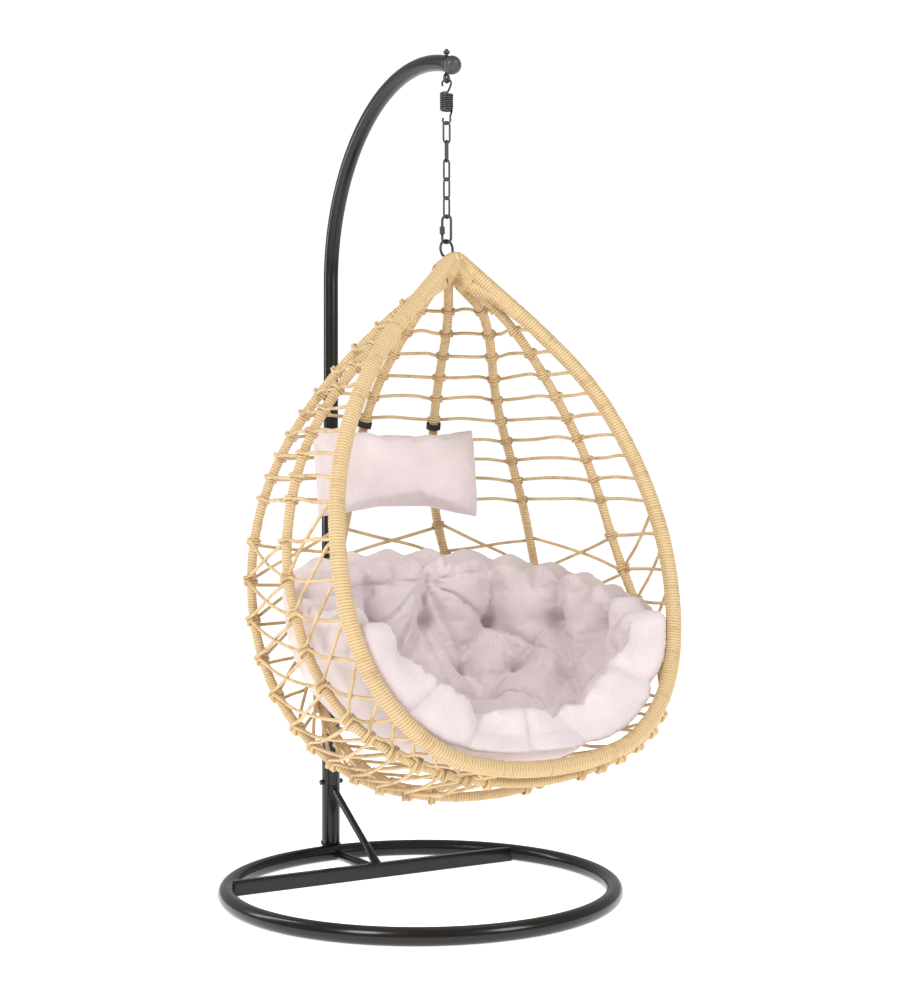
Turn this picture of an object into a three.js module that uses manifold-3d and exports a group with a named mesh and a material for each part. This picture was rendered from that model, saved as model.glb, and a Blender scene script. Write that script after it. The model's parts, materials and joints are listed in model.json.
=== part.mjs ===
// Hanging egg chair: a round steel base, a bent post, a spring and chain, and a
// teardrop rattan basket with a seat cushion and a head pillow.
// Millimetres, +Z up. The chair faces -Y and is symmetric about the plane x = 0.
// The origin is on the floor, at the centre of the chair's footprint.
import * as THREE from 'three';
import { mergeVertices } from 'three/addons/utils/BufferGeometryUtils.js';
import Module from 'manifold-3d';

const wasm = await Module();
wasm.setup();

// ---- Driving dimensions -------------------------------------------------------
const GAP = 0.3; // clearance between pieces that touch
const CENTRE_Y = 23; // base ring's centre, in front of or behind the origin

const RING_RADIUS = 455; // centre line of the base ring
const RING_TUBE = 40;
const RING_WALL = 2;
const VENT_HOLE = 6; // drain hole under the base ring
const CROSSBAR_Y = 219; // behind the ring's centre
const CROSSBAR_HEIGHT = 36;
const CROSSBAR_DEPTH = 20;
const CROSSBAR_WALL = 2;
const CONNECTOR_TUBE = 25;
const CONNECTOR_Z = 18;
const BRACE_TUBE = 19;
const BRACE_TOP_Z = 200;
const BRACE_FOOT_BACK = 3; // brace's centre line at the crossbar's top, behind its middle

const POST_SETBACK = 23; // post's axis behind the ring tube's centre line
const POST_TUBE = 48;
const POST_FOOT_Z = 8;
const POST_TOP_Z = 940;
const ARM_TUBE = 38;
const ARM_WALL = 2.5;
const ARM_INSERT = 120; // how far the arm slides down into the post
const ARM_BEND_Z = 1498; // where the straight part ends and the bend starts
const ARM_BEND_RADIUS = 458;
const ARM_BEND_ANGLE = THREE.MathUtils.degToRad(110.5);
const CAP_RADIUS = 21.5;
const BOLT_Z = 200; // through-bolt of the post
const BOLT_SHANK = 8;
const HEX_ACROSS = 13;
const NUT_HEIGHT = 6.5;

const HANG_SETBACK = 20.4; // vertical line that the chair hangs on, behind the arm's front end
const EYE_WIRE = 7;
const EYE_RADIUS = 7;
const EYE_LENGTH = 3; // straight part between the eye's two bows
const EYE_DROP = 42; // from the arm's centre line down to the eye's lowest wire centre
const SPRING_WIRE = 4.8;
const SPRING_RADIUS = 13.4;
const SPRING_TURNS = 8;
const SPRING_PITCH = 5.4;
const HOOK_REACH = 30; // from the hook's bow to the coil
const HOOK_RADIUS = 11;
const LINK_COUNT = 5;
const LINK_WIRE = 4.6;
const LINK_RADIUS = 8.75; // wire centre, from the link's middle to its side
const LINK_STRAIGHT = 30.5;
const QUICK_WIRE = 6;
const QUICK_RADIUS = 11;
const QUICK_STRAIGHT = 41;
const QUICK_GAP = 6; // opening that the sleeve nut closes
const SLEEVE_LENGTH = 17;
const SLEEVE_ACROSS = 11;
const EYE_TURN = 20; // heading of each loop's flat side, in degrees from +X
const HOOK_TURNS = [-50, -65]; // upper hook, lower hook
const LINK_TURNS = [5, 75, 15, -75, 15];
const QUICK_TURN = -55;
const TOP_RING_TURN = 15;
const TOP_RING_RADIUS = 20;
const TOP_RING_WIRE = 6;

const BASKET_HANG = new THREE.Vector3(0, -120, 1488); // ring's lowest point, in the basket's frame
const BINDING_Y = -135; // centre of the rattan binding at the top of the basket
const BINDING_RADIUS = 48;
const BINDING_BOTTOM_Z = 1428;
const BINDING_TOP_Z = 1498;
const RIM_CORE = 22; // steel tube inside the rim's wrapping
const RIM_SLEEVE = 36;
const RIB_CORE = 16;
const CORE_WALL = 1.5;
const RIB_SLEEVE = 26;
const SLEEVE_SPACE = 3; // between the steel core's corners and the wrapping's
const STRAND = 8;
const STRAND_SPACE = 4; // between a strand and the wrapped rib that it passes
const CORNER_SPACE = 9; // the same at the middle ribs, where the strands turn most
const BAND_COUNT = 10;
const BAND_TOP_Z = 1372;
const BAND_SPACING = 49;
const LATTICE_FIRST = 0.445; // first crossing row, as a share of each half hoop
const LATTICE_STEP = 0.055; // rows on the sides
const LATTICE_SIDE_ROWS = 5;
const LATTICE_LOW_STEP = 0.035; // closer rows under the basket
const LATTICE_ROWS = 11;
const KNOT_SPREAD = 7; // between a rib's knot and each of the two rows that meet there
const BASKET_MIDDLE = new THREE.Vector3(0, -180, 800);

const CUSHION_CENTRE = new THREE.Vector3(0, -262, 716);
const CUSHION_SIZE = new THREE.Vector3(406, 362, 400); // half sizes of its outside
const CUSHION_CORNER = 2.7; // 2 is a round plan, more is squarer
const SEAT_CENTRE = new THREE.Vector3(0, -270, 716); // the hollow that one sits in
const SEAT_SIZE = new THREE.Vector3(334, 262, 288);
const CUSHION_BACK_Z = 806; // top edge at the back
const CUSHION_TOP_SLOPE = THREE.MathUtils.degToRad(15);
const CUSHION_RIM_SPACE = 24; // from the rim's centre plane to the cushion's front
const PILLOW_SIZE = new THREE.Vector3(420, 88, 205);
const PILLOW_CENTRE = new THREE.Vector3(-30, 62, 1000);
const PILLOW_LEAN = THREE.MathUtils.degToRad(8.5);
const STRAP_WIDTH = 14;
const STRAP_THICKNESS = 2;
const STRAP_SPACE = 3; // between the strap and the wrapped rib
const STRAP_RISE = 9.5; // above the pillow's top edge

// Half outlines of the hoops as seen from the front, [x, y, z], from the binding
// down to the lowest point on the plane of symmetry.
const RIM = [
  [30, -156, 1427], [113, -198, 1380], [208, -238, 1292], [290, -281, 1192],
  [354, -317, 1078], [396, -355, 955], [415, -396, 826], [410, -433, 694],
  [377, -472, 574], [315, -506, 480], [227, -525, 412], [116, -529, 380], [0, -530, 371],
];
const SIDE_RIB = [
  [36, -138, 1427], [114, -161, 1367], [212, -154, 1267], [296, -140, 1164],
  [358, -140, 1064], [403, -153, 946], [432, -184, 812], [442, -250, 688],
  [437, -334, 579], [397, -414, 482], [298, -468, 405], [149, -486, 354], [0, -488, 337],
];
const MIDDLE_RIB = [
  [32, -118, 1427], [107, -104, 1367], [180, -24, 1275], [244, 54, 1169],
  [308, 97, 1047], [359, 112, 913], [387, 104, 771], [393, 62, 625],
  [376, -12, 496], [333, -108, 393], [256, -197, 320], [139, -260, 286], [0, -280, 277],
];
const BACK_RIB = [
  [15, -102, 1427], [45, -48, 1350], [71, 28, 1253], [90, 91, 1149],
  [103, 128, 1036], [119, 142, 915], [149, 140, 792], [190, 128, 673],
  [222, 103, 555], [225, 62, 442], [182, 10, 344], [98, -28, 276], [0, -42, 255],
];

// ---- Materials ----------------------------------------------------------------
const paint = (color, roughness, metalness) => () =>
  new THREE.MeshStandardMaterial({ color, roughness, metalness });
const blackSteel = paint(0x1b1918, 0.32, 0.6);
const blackPlastic = paint(0x2c2b2b, 0.45, 0);
const greySteel = paint(0x4a4a4c, 0.5, 0.8);
const rattan = paint(0xd3ab6d, 0.6, 0);
const cushionCloth = paint(0xd9c9c9, 0.95, 0);

// ---- Helpers ------------------------------------------------------------------
const chair = new THREE.Group();
chair.position.y = CENTRE_Y;
const basket = new THREE.Group();
chair.add(basket);

function piece(name, geometry, material, group = chair) {
  const mesh = new THREE.Mesh(geometry, material());
  mesh.name = name;
  group.add(mesh);
}

const basketPiece = (name, geometry, material) => piece(name, geometry, material, basket);

function polygon(radius, sides) {
  const points = [];
  for (let i = 0; i < sides; i += 1) {
    const angle = (2 * Math.PI * (i + 0.5)) / sides;
    points.push(new THREE.Vector2(radius * Math.cos(angle), radius * Math.sin(angle)));
  }
  return points;
}

// A bar or, with a bore, a tube along a curve. Radii are those of the corners.
function sweep(curve, steps, radius, sides, bore = 0, boreSides = 6) {
  const section = new THREE.Shape(polygon(radius, sides));
  if (bore > 0) {
    section.holes.push(new THREE.Path(polygon(bore, boreSides)));
  }
  return new THREE.ExtrudeGeometry(section, { steps, extrudePath: curve, bevelEnabled: false });
}

// A straight prism between two points: round, hexagonal or hollow.
function rod(from, to, radius, sides, bore = 0, boreSides = 10) {
  return sweep(new THREE.LineCurve3(from, to), 1, radius, sides, bore, boreSides);
}

function toSolid(geometry) {
  const bare = geometry.clone();
  bare.deleteAttribute('normal');
  bare.deleteAttribute('uv');
  const merged = mergeVertices(bare, 1e-3);
  const index = merged.index.array;
  const kept = [];
  for (let i = 0; i < index.length; i += 3) {
    const [a, b, c] = [index[i], index[i + 1], index[i + 2]];
    if (a !== b && b !== c && c !== a) {
      kept.push(a, b, c);
    }
  }
  return new wasm.Manifold(new wasm.Mesh({
    numProp: 3,
    vertProperties: new Float32Array(merged.attributes.position.array),
    triVerts: new Uint32Array(kept),
  }));
}

function toGeometry(solid) {
  const mesh = solid.getMesh();
  const geometry = new THREE.BufferGeometry();
  geometry.setAttribute('position', new THREE.BufferAttribute(mesh.vertProperties, 3));
  geometry.setIndex(new THREE.BufferAttribute(mesh.triVerts, 1));
  geometry.computeVertexNormals();
  return geometry;
}

function cut(geometry, ...tools) {
  let solid = toSolid(geometry);
  for (const tool of tools) {
    solid = solid.subtract(toSolid(tool));
  }
  return toGeometry(solid);
}

function join(geometry, ...others) {
  let solid = toSolid(geometry);
  for (const other of others) {
    solid = solid.add(toSolid(other));
  }
  return toGeometry(solid);
}

// A block that fills everything above a plane through a point; `slope` tilts it about X.
function blockAbove(point, slope) {
  const size = 3000;
  const geometry = new THREE.BoxGeometry(size, size, size);
  geometry.translate(0, 0, size / 2);
  geometry.rotateX(slope);
  geometry.translate(...point);
  return geometry;
}

// A closed wire loop standing on edge: two bows and, if length > 0, two straight
// sides. Its flat side heads along `turn` degrees from +X and `z` is its middle.
function loop(radius, wire, length, turn, z, segments = 16, sides = 6) {
  const sideRadius = length > 0 ? radius / Math.cos(Math.PI / segments) : radius;
  const geometry = new THREE.TorusGeometry(sideRadius, wire / 2, sides, segments);
  geometry.rotateZ(Math.PI / segments);
  const position = geometry.attributes.position;
  for (let i = 0; i < position.count; i += 1) {
    position.setY(i, position.getY(i) + (Math.sign(position.getY(i)) * length) / 2);
  }
  geometry.rotateX(Math.PI / 2);
  geometry.rotateZ(THREE.MathUtils.degToRad(turn));
  geometry.translate(0, HANG_Y, z);
  return geometry;
}

function heading(turn) {
  const angle = THREE.MathUtils.degToRad(turn);
  return new THREE.Vector3(Math.cos(angle), Math.sin(angle), 0);
}

// ---- Stand --------------------------------------------------------------------
const ringTorus = (tubeRadius, sides) => {
  const geometry = new THREE.TorusGeometry(RING_RADIUS, tubeRadius, sides, 40);
  geometry.translate(0, 0, RING_TUBE / 2);
  return geometry;
};
const ringSpace = ringTorus(RING_TUBE / 2 + GAP + 0.2, 12);
const POST_Y = RING_RADIUS + POST_SETBACK;
const postAxis = (z) => new THREE.Vector3(0, POST_Y, z);

function baseRing() {
  const outside = ringTorus(RING_TUBE / 2, 12);
  const inside = ringTorus(RING_TUBE / 2 - RING_WALL, 6);
  const vent = rod(
    new THREE.Vector3(0, -RING_RADIUS, -1),
    new THREE.Vector3(0, -RING_RADIUS, RING_TUBE / 2),
    VENT_HOLE / 2, 8,
  );
  return cut(outside, inside, vent);
}

function crossbar() {
  const half = [CROSSBAR_DEPTH / 2, CROSSBAR_HEIGHT / 2];
  const rectangle = (x, y) => [[-x, -y], [x, -y], [x, y], [-x, y]].map((p) => new THREE.Vector2(...p));
  const section = new THREE.Shape(rectangle(...half));
  section.holes.push(new THREE.Path(rectangle(half[0] - CROSSBAR_WALL, half[1] - CROSSBAR_WALL)));
  const reach = Math.sqrt(RING_RADIUS ** 2 - CROSSBAR_Y ** 2) - RING_TUBE / 4;
  const bar = new THREE.ExtrudeGeometry(section, { depth: 2 * reach, bevelEnabled: false });
  bar.translate(0, 0, -reach);
  bar.rotateY(Math.PI / 2);
  bar.rotateX(Math.PI / 2);
  bar.translate(0, CROSSBAR_Y, CROSSBAR_HEIGHT / 2);
  return cut(bar, ringSpace);
}

function connector() {
  const from = new THREE.Vector3(0, CROSSBAR_Y + CROSSBAR_DEPTH / 2 + GAP, CONNECTOR_Z);
  const to = new THREE.Vector3(0, RING_RADIUS - RING_TUBE / 4, CONNECTOR_Z);
  const tube = rod(from, to, CONNECTOR_TUBE / 2, 12, CONNECTOR_TUBE / 2 - RING_WALL, 8);
  return cut(tube, ringSpace);
}

function brace() {
  const foot = new THREE.Vector3(0, CROSSBAR_Y + BRACE_FOOT_BACK, CROSSBAR_HEIGHT);
  const top = postAxis(BRACE_TOP_Z);
  const along = top.clone().sub(foot).normalize();
  const start = foot.clone().addScaledVector(along, -BRACE_TUBE);
  const tube = rod(start, top, BRACE_TUBE / 2, 10, BRACE_TUBE / 2 - RING_WALL, 8);
  const postSpace = rod(postAxis(0), postAxis(POST_TOP_Z), POST_TUBE / 2 + GAP + 0.4, 20);
  const below = new THREE.BoxGeometry(200, 200, 200);
  below.translate(0, CROSSBAR_Y, CROSSBAR_HEIGHT + GAP - 100);
  return cut(tube, postSpace, below);
}

function lowerPost() {
  const bore = ARM_TUBE / 2 + GAP + 0.4;
  const tube = rod(postAxis(POST_FOOT_Z), postAxis(POST_TOP_Z), POST_TUBE / 2, 20, bore, 16);
  const across = (x) => new THREE.Vector3(x, POST_Y, BOLT_Z);
  const hole = rod(across(-POST_TUBE), across(POST_TUBE), BOLT_SHANK / 2 + GAP + 0.2, 8);
  return cut(tube, ringSpace, hole);
}

function postBolt() {
  const side = POST_TUBE / 2 + GAP;
  const at = (x) => new THREE.Vector3(x, POST_Y, BOLT_Z);
  const head = rod(at(-side - NUT_HEIGHT), at(-side), HEX_ACROSS / Math.sqrt(3), 6);
  const shank = rod(at(-side - 1), at(side + NUT_HEIGHT + 3), BOLT_SHANK / 2, 10);
  return join(head, shank);
}

function hexNut(from, to) {
  return rod(from, to, HEX_ACROSS / Math.sqrt(3), 6, BOLT_SHANK / 2 + GAP + 0.1, 10);
}

// The arm's centre line: straight up inside the post, then a round bend forward.
class ArmLine extends THREE.Curve {
  getPoint(t, target = new THREE.Vector3()) {
    const straight = ARM_BEND_Z - (POST_TOP_Z - ARM_INSERT);
    const travel = t * (straight + ARM_BEND_RADIUS * ARM_BEND_ANGLE);
    const angle = Math.max(0, travel - straight) / ARM_BEND_RADIUS;
    return target.set(
      0,
      POST_Y - ARM_BEND_RADIUS * (1 - Math.cos(angle)),
      Math.min(travel, straight) + POST_TOP_Z - ARM_INSERT + ARM_BEND_RADIUS * Math.sin(angle),
    );
  }
}
const armLine = new ArmLine();
const HANG_Y = armLine.getPoint(1).y + HANG_SETBACK;
const armHeightOver = (y) =>
  ARM_BEND_Z + Math.sqrt(ARM_BEND_RADIUS ** 2 - (y - POST_Y + ARM_BEND_RADIUS) ** 2);
const hangAxis = (z) => new THREE.Vector3(0, HANG_Y, z);
const EYE_Z = armHeightOver(HANG_Y) - EYE_DROP;

function upperArm() {
  const tube = sweep(armLine, 24, ARM_TUBE / 2, 12, ARM_TUBE / 2 - ARM_WALL, 6);
  const top = armHeightOver(HANG_Y) + ARM_TUBE;
  return cut(tube, rod(hangAxis(EYE_Z), hangAxis(top), BOLT_SHANK / 2 + GAP + 0.2, 8));
}

function armEndCap() {
  const end = armLine.getPoint(1);
  const out = armLine.getTangent(1);
  const ball = new THREE.SphereGeometry(CAP_RADIUS, 16, 10);
  const middle = end.clone().addScaledVector(out, 3);
  ball.translate(...middle);
  const back = rod(
    end.clone().addScaledVector(out, -2 * CAP_RADIUS),
    end.clone().addScaledVector(out, GAP),
    2 * CAP_RADIUS, 8,
  );
  const plug = rod(
    end.clone().addScaledVector(out, -12),
    end.clone().addScaledVector(out, 4),
    ARM_TUBE / 2 - ARM_WALL - 3, 8,
  );
  return join(cut(ball, back), plug);
}

piece('base_ring', baseRing(), blackSteel);
piece('base_crossbar', crossbar(), blackSteel);
piece('base_connector', connector(), blackSteel);
piece('post_brace', brace(), blackSteel);
piece('lower_post', lowerPost(), blackSteel);
piece('post_bolt', postBolt(), greySteel);
piece('post_bolt_nut', hexNut(
  new THREE.Vector3(POST_TUBE / 2 + GAP, POST_Y, BOLT_Z),
  new THREE.Vector3(POST_TUBE / 2 + GAP + NUT_HEIGHT, POST_Y, BOLT_Z),
), greySteel);
piece('upper_arm', upperArm(), blackSteel);
piece('arm_end_cap', armEndCap(), blackPlastic);

// ---- Eye bolt -----------------------------------------------------------------
const nutSeat = armHeightOver(HANG_Y) + ARM_TUBE / 2 + 4;
const eyeTop = EYE_Z + EYE_LENGTH + 2 * EYE_RADIUS;
piece('eye_bolt', join(
  loop(EYE_RADIUS, EYE_WIRE, EYE_LENGTH, EYE_TURN, (EYE_Z + eyeTop) / 2, 14, 8),
  rod(hangAxis(eyeTop), hangAxis(nutSeat + NUT_HEIGHT + 4), BOLT_SHANK / 2, 10),
), greySteel);
piece('eye_bolt_nut', hexNut(hangAxis(nutSeat), hangAxis(nutSeat + NUT_HEIGHT)), greySteel);

// ---- Spring and chain ---------------------------------------------------------
// Wire centre of the piece that hangs in a bow whose own wire centre is at z.
const hungOn = (z, upperWire, lowerWire) => z + (upperWire + lowerWire) / 2 + GAP;
const hookTop = hungOn(EYE_Z, EYE_WIRE, SPRING_WIRE);
const coilTop = hookTop - HOOK_REACH;
const coilBottom = coilTop - SPRING_TURNS * SPRING_PITCH;
const lowerHookBottom = coilBottom - HOOK_REACH;

// Half a turn and more of open hook, from its free tip to the coil's middle.
function hookPoints(turn, tipZ, towards) {
  const out = heading(turn);
  const points = [];
  for (const degrees of [205, 165, 128, 90, 52, 15, -25]) {
    const angle = THREE.MathUtils.degToRad(degrees);
    const centreZ = tipZ - towards * HOOK_RADIUS;
    points.push(hangAxis(centreZ + towards * HOOK_RADIUS * Math.sin(angle))
      .addScaledVector(out, HOOK_RADIUS * Math.cos(angle)));
  }
  return points;
}

function springGeometry() {
  const points = hookPoints(HOOK_TURNS[0], hookTop, 1);
  const perTurn = 10;
  const count = SPRING_TURNS * perTurn;
  const start = HOOK_TURNS[0] - 60;
  const end = HOOK_TURNS[1] - 300;
  for (let i = 0; i <= count; i += 1) {
    const share = i / count;
    const turn = start + share * (end - start - 360 * (SPRING_TURNS - 1));
    const drop = SPRING_WIRE / 2 + share * (SPRING_TURNS * SPRING_PITCH - SPRING_WIRE);
    points.push(hangAxis(coilTop - drop).addScaledVector(heading(turn), SPRING_RADIUS));
  }
  points.push(...hookPoints(HOOK_TURNS[1], lowerHookBottom, -1).reverse());
  return sweep(new THREE.CatmullRomCurve3(points), 112, SPRING_WIRE / 2, 5);
}
piece('spring', springGeometry(), greySteel);

// Each loop hangs in the one above it, `bottom` being the wire centre of its lowest point.
let bottom = lowerHookBottom;
let wireAbove = SPRING_WIRE;
function hang(radius, wire, straight) {
  const top = hungOn(bottom, wireAbove, wire);
  bottom = top - 2 * radius - straight;
  wireAbove = wire;
  return (top + bottom) / 2;
}
for (let i = 0; i < LINK_COUNT; i += 1) {
  const middle = hang(LINK_RADIUS, LINK_WIRE, LINK_STRAIGHT);
  const link = loop(LINK_RADIUS, LINK_WIRE, LINK_STRAIGHT, LINK_TURNS[i], middle, 14);
  piece(`chain_link_${i + 1}`, link, greySteel);
}

const quickMiddle = hang(QUICK_RADIUS, QUICK_WIRE, QUICK_STRAIGHT);
const quickSide = heading(QUICK_TURN).multiplyScalar(-QUICK_RADIUS);
const quickAt = (z) => hangAxis(quickMiddle + z).add(quickSide);
piece('quick_link', cut(
  loop(QUICK_RADIUS, QUICK_WIRE, QUICK_STRAIGHT, QUICK_TURN, quickMiddle, 16, 8),
  rod(quickAt(-QUICK_GAP), quickAt(0), QUICK_WIRE, 8),
), greySteel);
piece('quick_link_nut', rod(
  quickAt(-SLEEVE_LENGTH / 2 - 2), quickAt(SLEEVE_LENGTH / 2 - 2),
  SLEEVE_ACROSS / Math.sqrt(3), 6, QUICK_WIRE / 2 + GAP + 0.2, 10,
), greySteel);

const topRingMiddle = hang(TOP_RING_RADIUS, TOP_RING_WIRE, 0);
const topRing = (wire, segments) =>
  loop(TOP_RING_RADIUS, wire, 0, TOP_RING_TURN, topRingMiddle, segments);
piece('basket_ring', topRing(TOP_RING_WIRE, 20), greySteel);

// ---- Basket frame -------------------------------------------------------------
// From here on the pieces hang on the ring: they are built in the basket's own frame.
basket.position.copy(hangAxis(bottom).sub(BASKET_HANG));
const HOOP_STEPS = 40;
const SLEEVE_FROM = 3; // steps of bare steel between the binding and the wrapping

function hoopCurve(outline) {
  const left = outline.map(([x, y, z]) => new THREE.Vector3(-x, y, z));
  const right = outline.slice(0, -1).reverse().map(([x, y, z]) => new THREE.Vector3(x, y, z));
  const curve = new THREE.CatmullRomCurve3([...left, ...right]);
  curve.arcLengthDivisions = 600;
  return curve;
}

class Stretch extends THREE.Curve {
  constructor(curve, from, to) {
    super();
    Object.assign(this, { curve, from, to });
  }

  getPoint(t, target = new THREE.Vector3()) {
    return this.curve.getPointAt(this.from + (this.to - this.from) * t, target);
  }
}

function hoop(name, outline, core, sleeve, space) {
  const curve = hoopCurve(outline);
  const tube = sweep(curve, HOOP_STEPS, core / 2, 5, core / 2 - CORE_WALL, 5);
  const inBinding = blockAbove(new THREE.Vector3(0, 0, BINDING_BOTTOM_Z), 0);
  basketPiece(`${name}_frame`, cut(tube, inBinding), blackSteel);
  const from = SLEEVE_FROM / HOOP_STEPS;
  const covered = new Stretch(curve, from, 1 - from);
  const bore = core / 2 + SLEEVE_SPACE;
  const wrap = sweep(covered, HOOP_STEPS - 2 * SLEEVE_FROM, sleeve / 2, 8, bore, 5);
  basketPiece(`${name}_wrap`, wrap, rattan);
  return { curve, strandReach: sleeve / 2 + space + STRAND / 2 };
}

const rim = hoop('rim', RIM, RIM_CORE, RIM_SLEEVE, STRAND_SPACE);
const sideRib = hoop('side_rib', SIDE_RIB, RIB_CORE, RIB_SLEEVE, STRAND_SPACE);
const middleRib = hoop('middle_rib', MIDDLE_RIB, RIB_CORE, RIB_SLEEVE, CORNER_SPACE);
const backRib = hoop('back_rib', BACK_RIB, RIB_CORE, RIB_SLEEVE, STRAND_SPACE);

function binding() {
  const height = BINDING_TOP_Z - BINDING_BOTTOM_Z;
  const shares = [[0, 0], [0.92, 0], [1, 0.2], [0.88, 0.5], [0.62, 0.78], [0.34, 0.95], [0, 1]];
  const profile = shares.map(([r, h]) => new THREE.Vector2(r * BINDING_RADIUS, h * height));
  const geometry = new THREE.LatheGeometry(profile, 16);
  geometry.rotateX(Math.PI / 2);
  geometry.translate(0, BINDING_Y, BINDING_BOTTOM_Z + GAP);
  const ringSlot = topRing(TOP_RING_WIRE + 2 * GAP + 0.6, 20);
  ringSlot.translate(...basket.position.clone().negate());
  return cut(geometry, ringSlot);
}
basketPiece('apex_binding', binding(), rattan);

// ---- Woven strands ------------------------------------------------------------
// The ribs in the order that a strand meets them, from the left rim round the back.
const LEFT = [rim, sideRib, middleRib, backRib].map((ribOf) => ({ ...ribOf, left: true }));
const RIGHT = [backRib, middleRib, sideRib, rim].map((ribOf) => ({ ...ribOf, left: false }));
const RIBS = [...LEFT, ...RIGHT];

// The point outside a rib at a share of its half hoop, where a strand crosses it.
function knot(rib, share) {
  const u = rib.left ? share / 2 : 1 - share / 2;
  const centre = rib.curve.getPointAt(u);
  const along = rib.curve.getTangentAt(u);
  const out = centre.clone().sub(BASKET_MIDDLE);
  out.addScaledVector(along, -out.dot(along)).normalize();
  return centre.addScaledVector(out, rib.strandReach);
}

function shareAtHeight(rib, z) {
  let [low, high] = [0, 0.9];
  for (let i = 0; i < 30; i += 1) {
    const middle = (low + high) / 2;
    const height = rib.curve.getPointAt(middle / 2).z;
    [low, high] = height > z ? [middle, high] : [low, middle];
  }
  return low;
}

const strand = (points, sides) =>
  sweep(new THREE.CatmullRomCurve3(points, false, 'centripetal'), 28, STRAND / 2 + 0.5, sides);

for (let i = 0; i < BAND_COUNT; i += 1) {
  const z = BAND_TOP_Z - i * BAND_SPACING;
  const points = RIBS.map((rib) => knot(rib, shareAtHeight(rib, z)));
  basketPiece(`band_${i + 1}`, strand(points, 4), rattan);
}

function latticeShare(row) {
  const side = Math.min(row, LATTICE_SIDE_ROWS);
  return LATTICE_FIRST + side * LATTICE_STEP + (row - side) * LATTICE_LOW_STEP;
}

// Two strands that cross between every pair of ribs.
function latticeRow(row) {
  const lines = [0, 1].map((phase) => RIBS.map((rib, i) => {
    const lower = (i + phase) % 2;
    const spread = KNOT_SPREAD / (rib.curve.getLength() / 2);
    return knot(rib, latticeShare(row + lower) + (lower ? -spread : spread));
  }));
  return join(strand(lines[0], 3), strand(lines[1], 3));
}
for (let i = 0; i < LATTICE_ROWS; i += 1) {
  basketPiece(`lattice_${i + 1}`, latticeRow(i), rattan);
}

// ---- Cushion and pillow -------------------------------------------------------
function seatCushion() {
  const bowl = (centre, size, segments) => {
    const geometry = new THREE.SphereGeometry(1, segments, 12);
    geometry.rotateX(Math.PI / 2);
    const position = geometry.attributes.position;
    for (let i = 0; i < position.count; i += 1) {
      const [x, y] = [position.getX(i), position.getY(i)];
      const powers = Math.abs(x) ** CUSHION_CORNER + Math.abs(y) ** CUSHION_CORNER;
      const grow = powers > 0 ? Math.hypot(x, y) / powers ** (1 / CUSHION_CORNER) : 1;
      position.setXY(i, x * grow, y * grow);
    }
    geometry.scale(...size);
    geometry.translate(...centre);
    return geometry;
  };
  const [rimHigh, rimMiddle, rimLow] = [RIM[2], RIM[6], RIM[11]];
  const rimLean = Math.atan((rimHigh[1] - rimLow[1]) / (rimHigh[2] - rimLow[2]));
  const rimPoint = new THREE.Vector3(0, rimMiddle[1] + CUSHION_RIM_SPACE, rimMiddle[2]);
  const top = new THREE.Vector3(0, CUSHION_CENTRE.y + CUSHION_SIZE.y, CUSHION_BACK_Z);
  return cut(
    bowl(CUSHION_CENTRE, CUSHION_SIZE, 24),
    bowl(SEAT_CENTRE, SEAT_SIZE, 24),
    blockAbove(top, CUSHION_TOP_SLOPE),
    blockAbove(rimPoint, Math.PI / 2 - rimLean),
  );
}
basketPiece('seat_cushion', seatCushion(), cushionCloth);

function headPillow() {
  const [halfX, halfZ] = [PILLOW_SIZE.x / 2, PILLOW_SIZE.z / 2];
  const round = PILLOW_SIZE.y * 0.3;
  const face = new THREE.Shape([
    [-halfX, -halfZ], [halfX, -halfZ], [halfX, halfZ], [-halfX, halfZ],
  ].map(([x, z]) => new THREE.Vector2(x - Math.sign(x) * round, z - Math.sign(z) * round)));
  const geometry = new THREE.ExtrudeGeometry(face, {
    depth: PILLOW_SIZE.y * 0.3,
    bevelThickness: PILLOW_SIZE.y * 0.35,
    bevelSize: round,
    bevelSegments: 3,
  });
  geometry.translate(0, 0, -PILLOW_SIZE.y * 0.15);
  geometry.rotateX(Math.PI / 2);
  geometry.rotateX(PILLOW_LEAN);
  geometry.translate(...PILLOW_CENTRE);
  return geometry;
}
basketPiece('head_pillow', headPillow(), cushionCloth);

// A fabric loop round each back rib, just above the pillow.
function pillowStrap(left) {
  const share = shareAtHeight(backRib, PILLOW_CENTRE.z + PILLOW_SIZE.z / 2 + STRAP_RISE);
  const u = left ? share / 2 : 1 - share / 2;
  const half = STRAP_WIDTH / 2 / backRib.curve.getLength();
  const inner = RIB_SLEEVE / 2 + STRAP_SPACE;
  const stretch = new Stretch(backRib.curve, u - half, u + half);
  return sweep(stretch, 1, inner + STRAP_THICKNESS, 12, inner, 12);
}
basketPiece('pillow_strap_left', pillowStrap(true), blackPlastic);
basketPiece('pillow_strap_right', pillowStrap(false), blackPlastic);

export default chair;
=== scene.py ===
"""Hanging egg chair: the visible surfaces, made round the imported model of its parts."""

import json
import math

import bmesh
import bpy
import numpy as np
from mathutils import Matrix, Vector, kdtree


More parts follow.
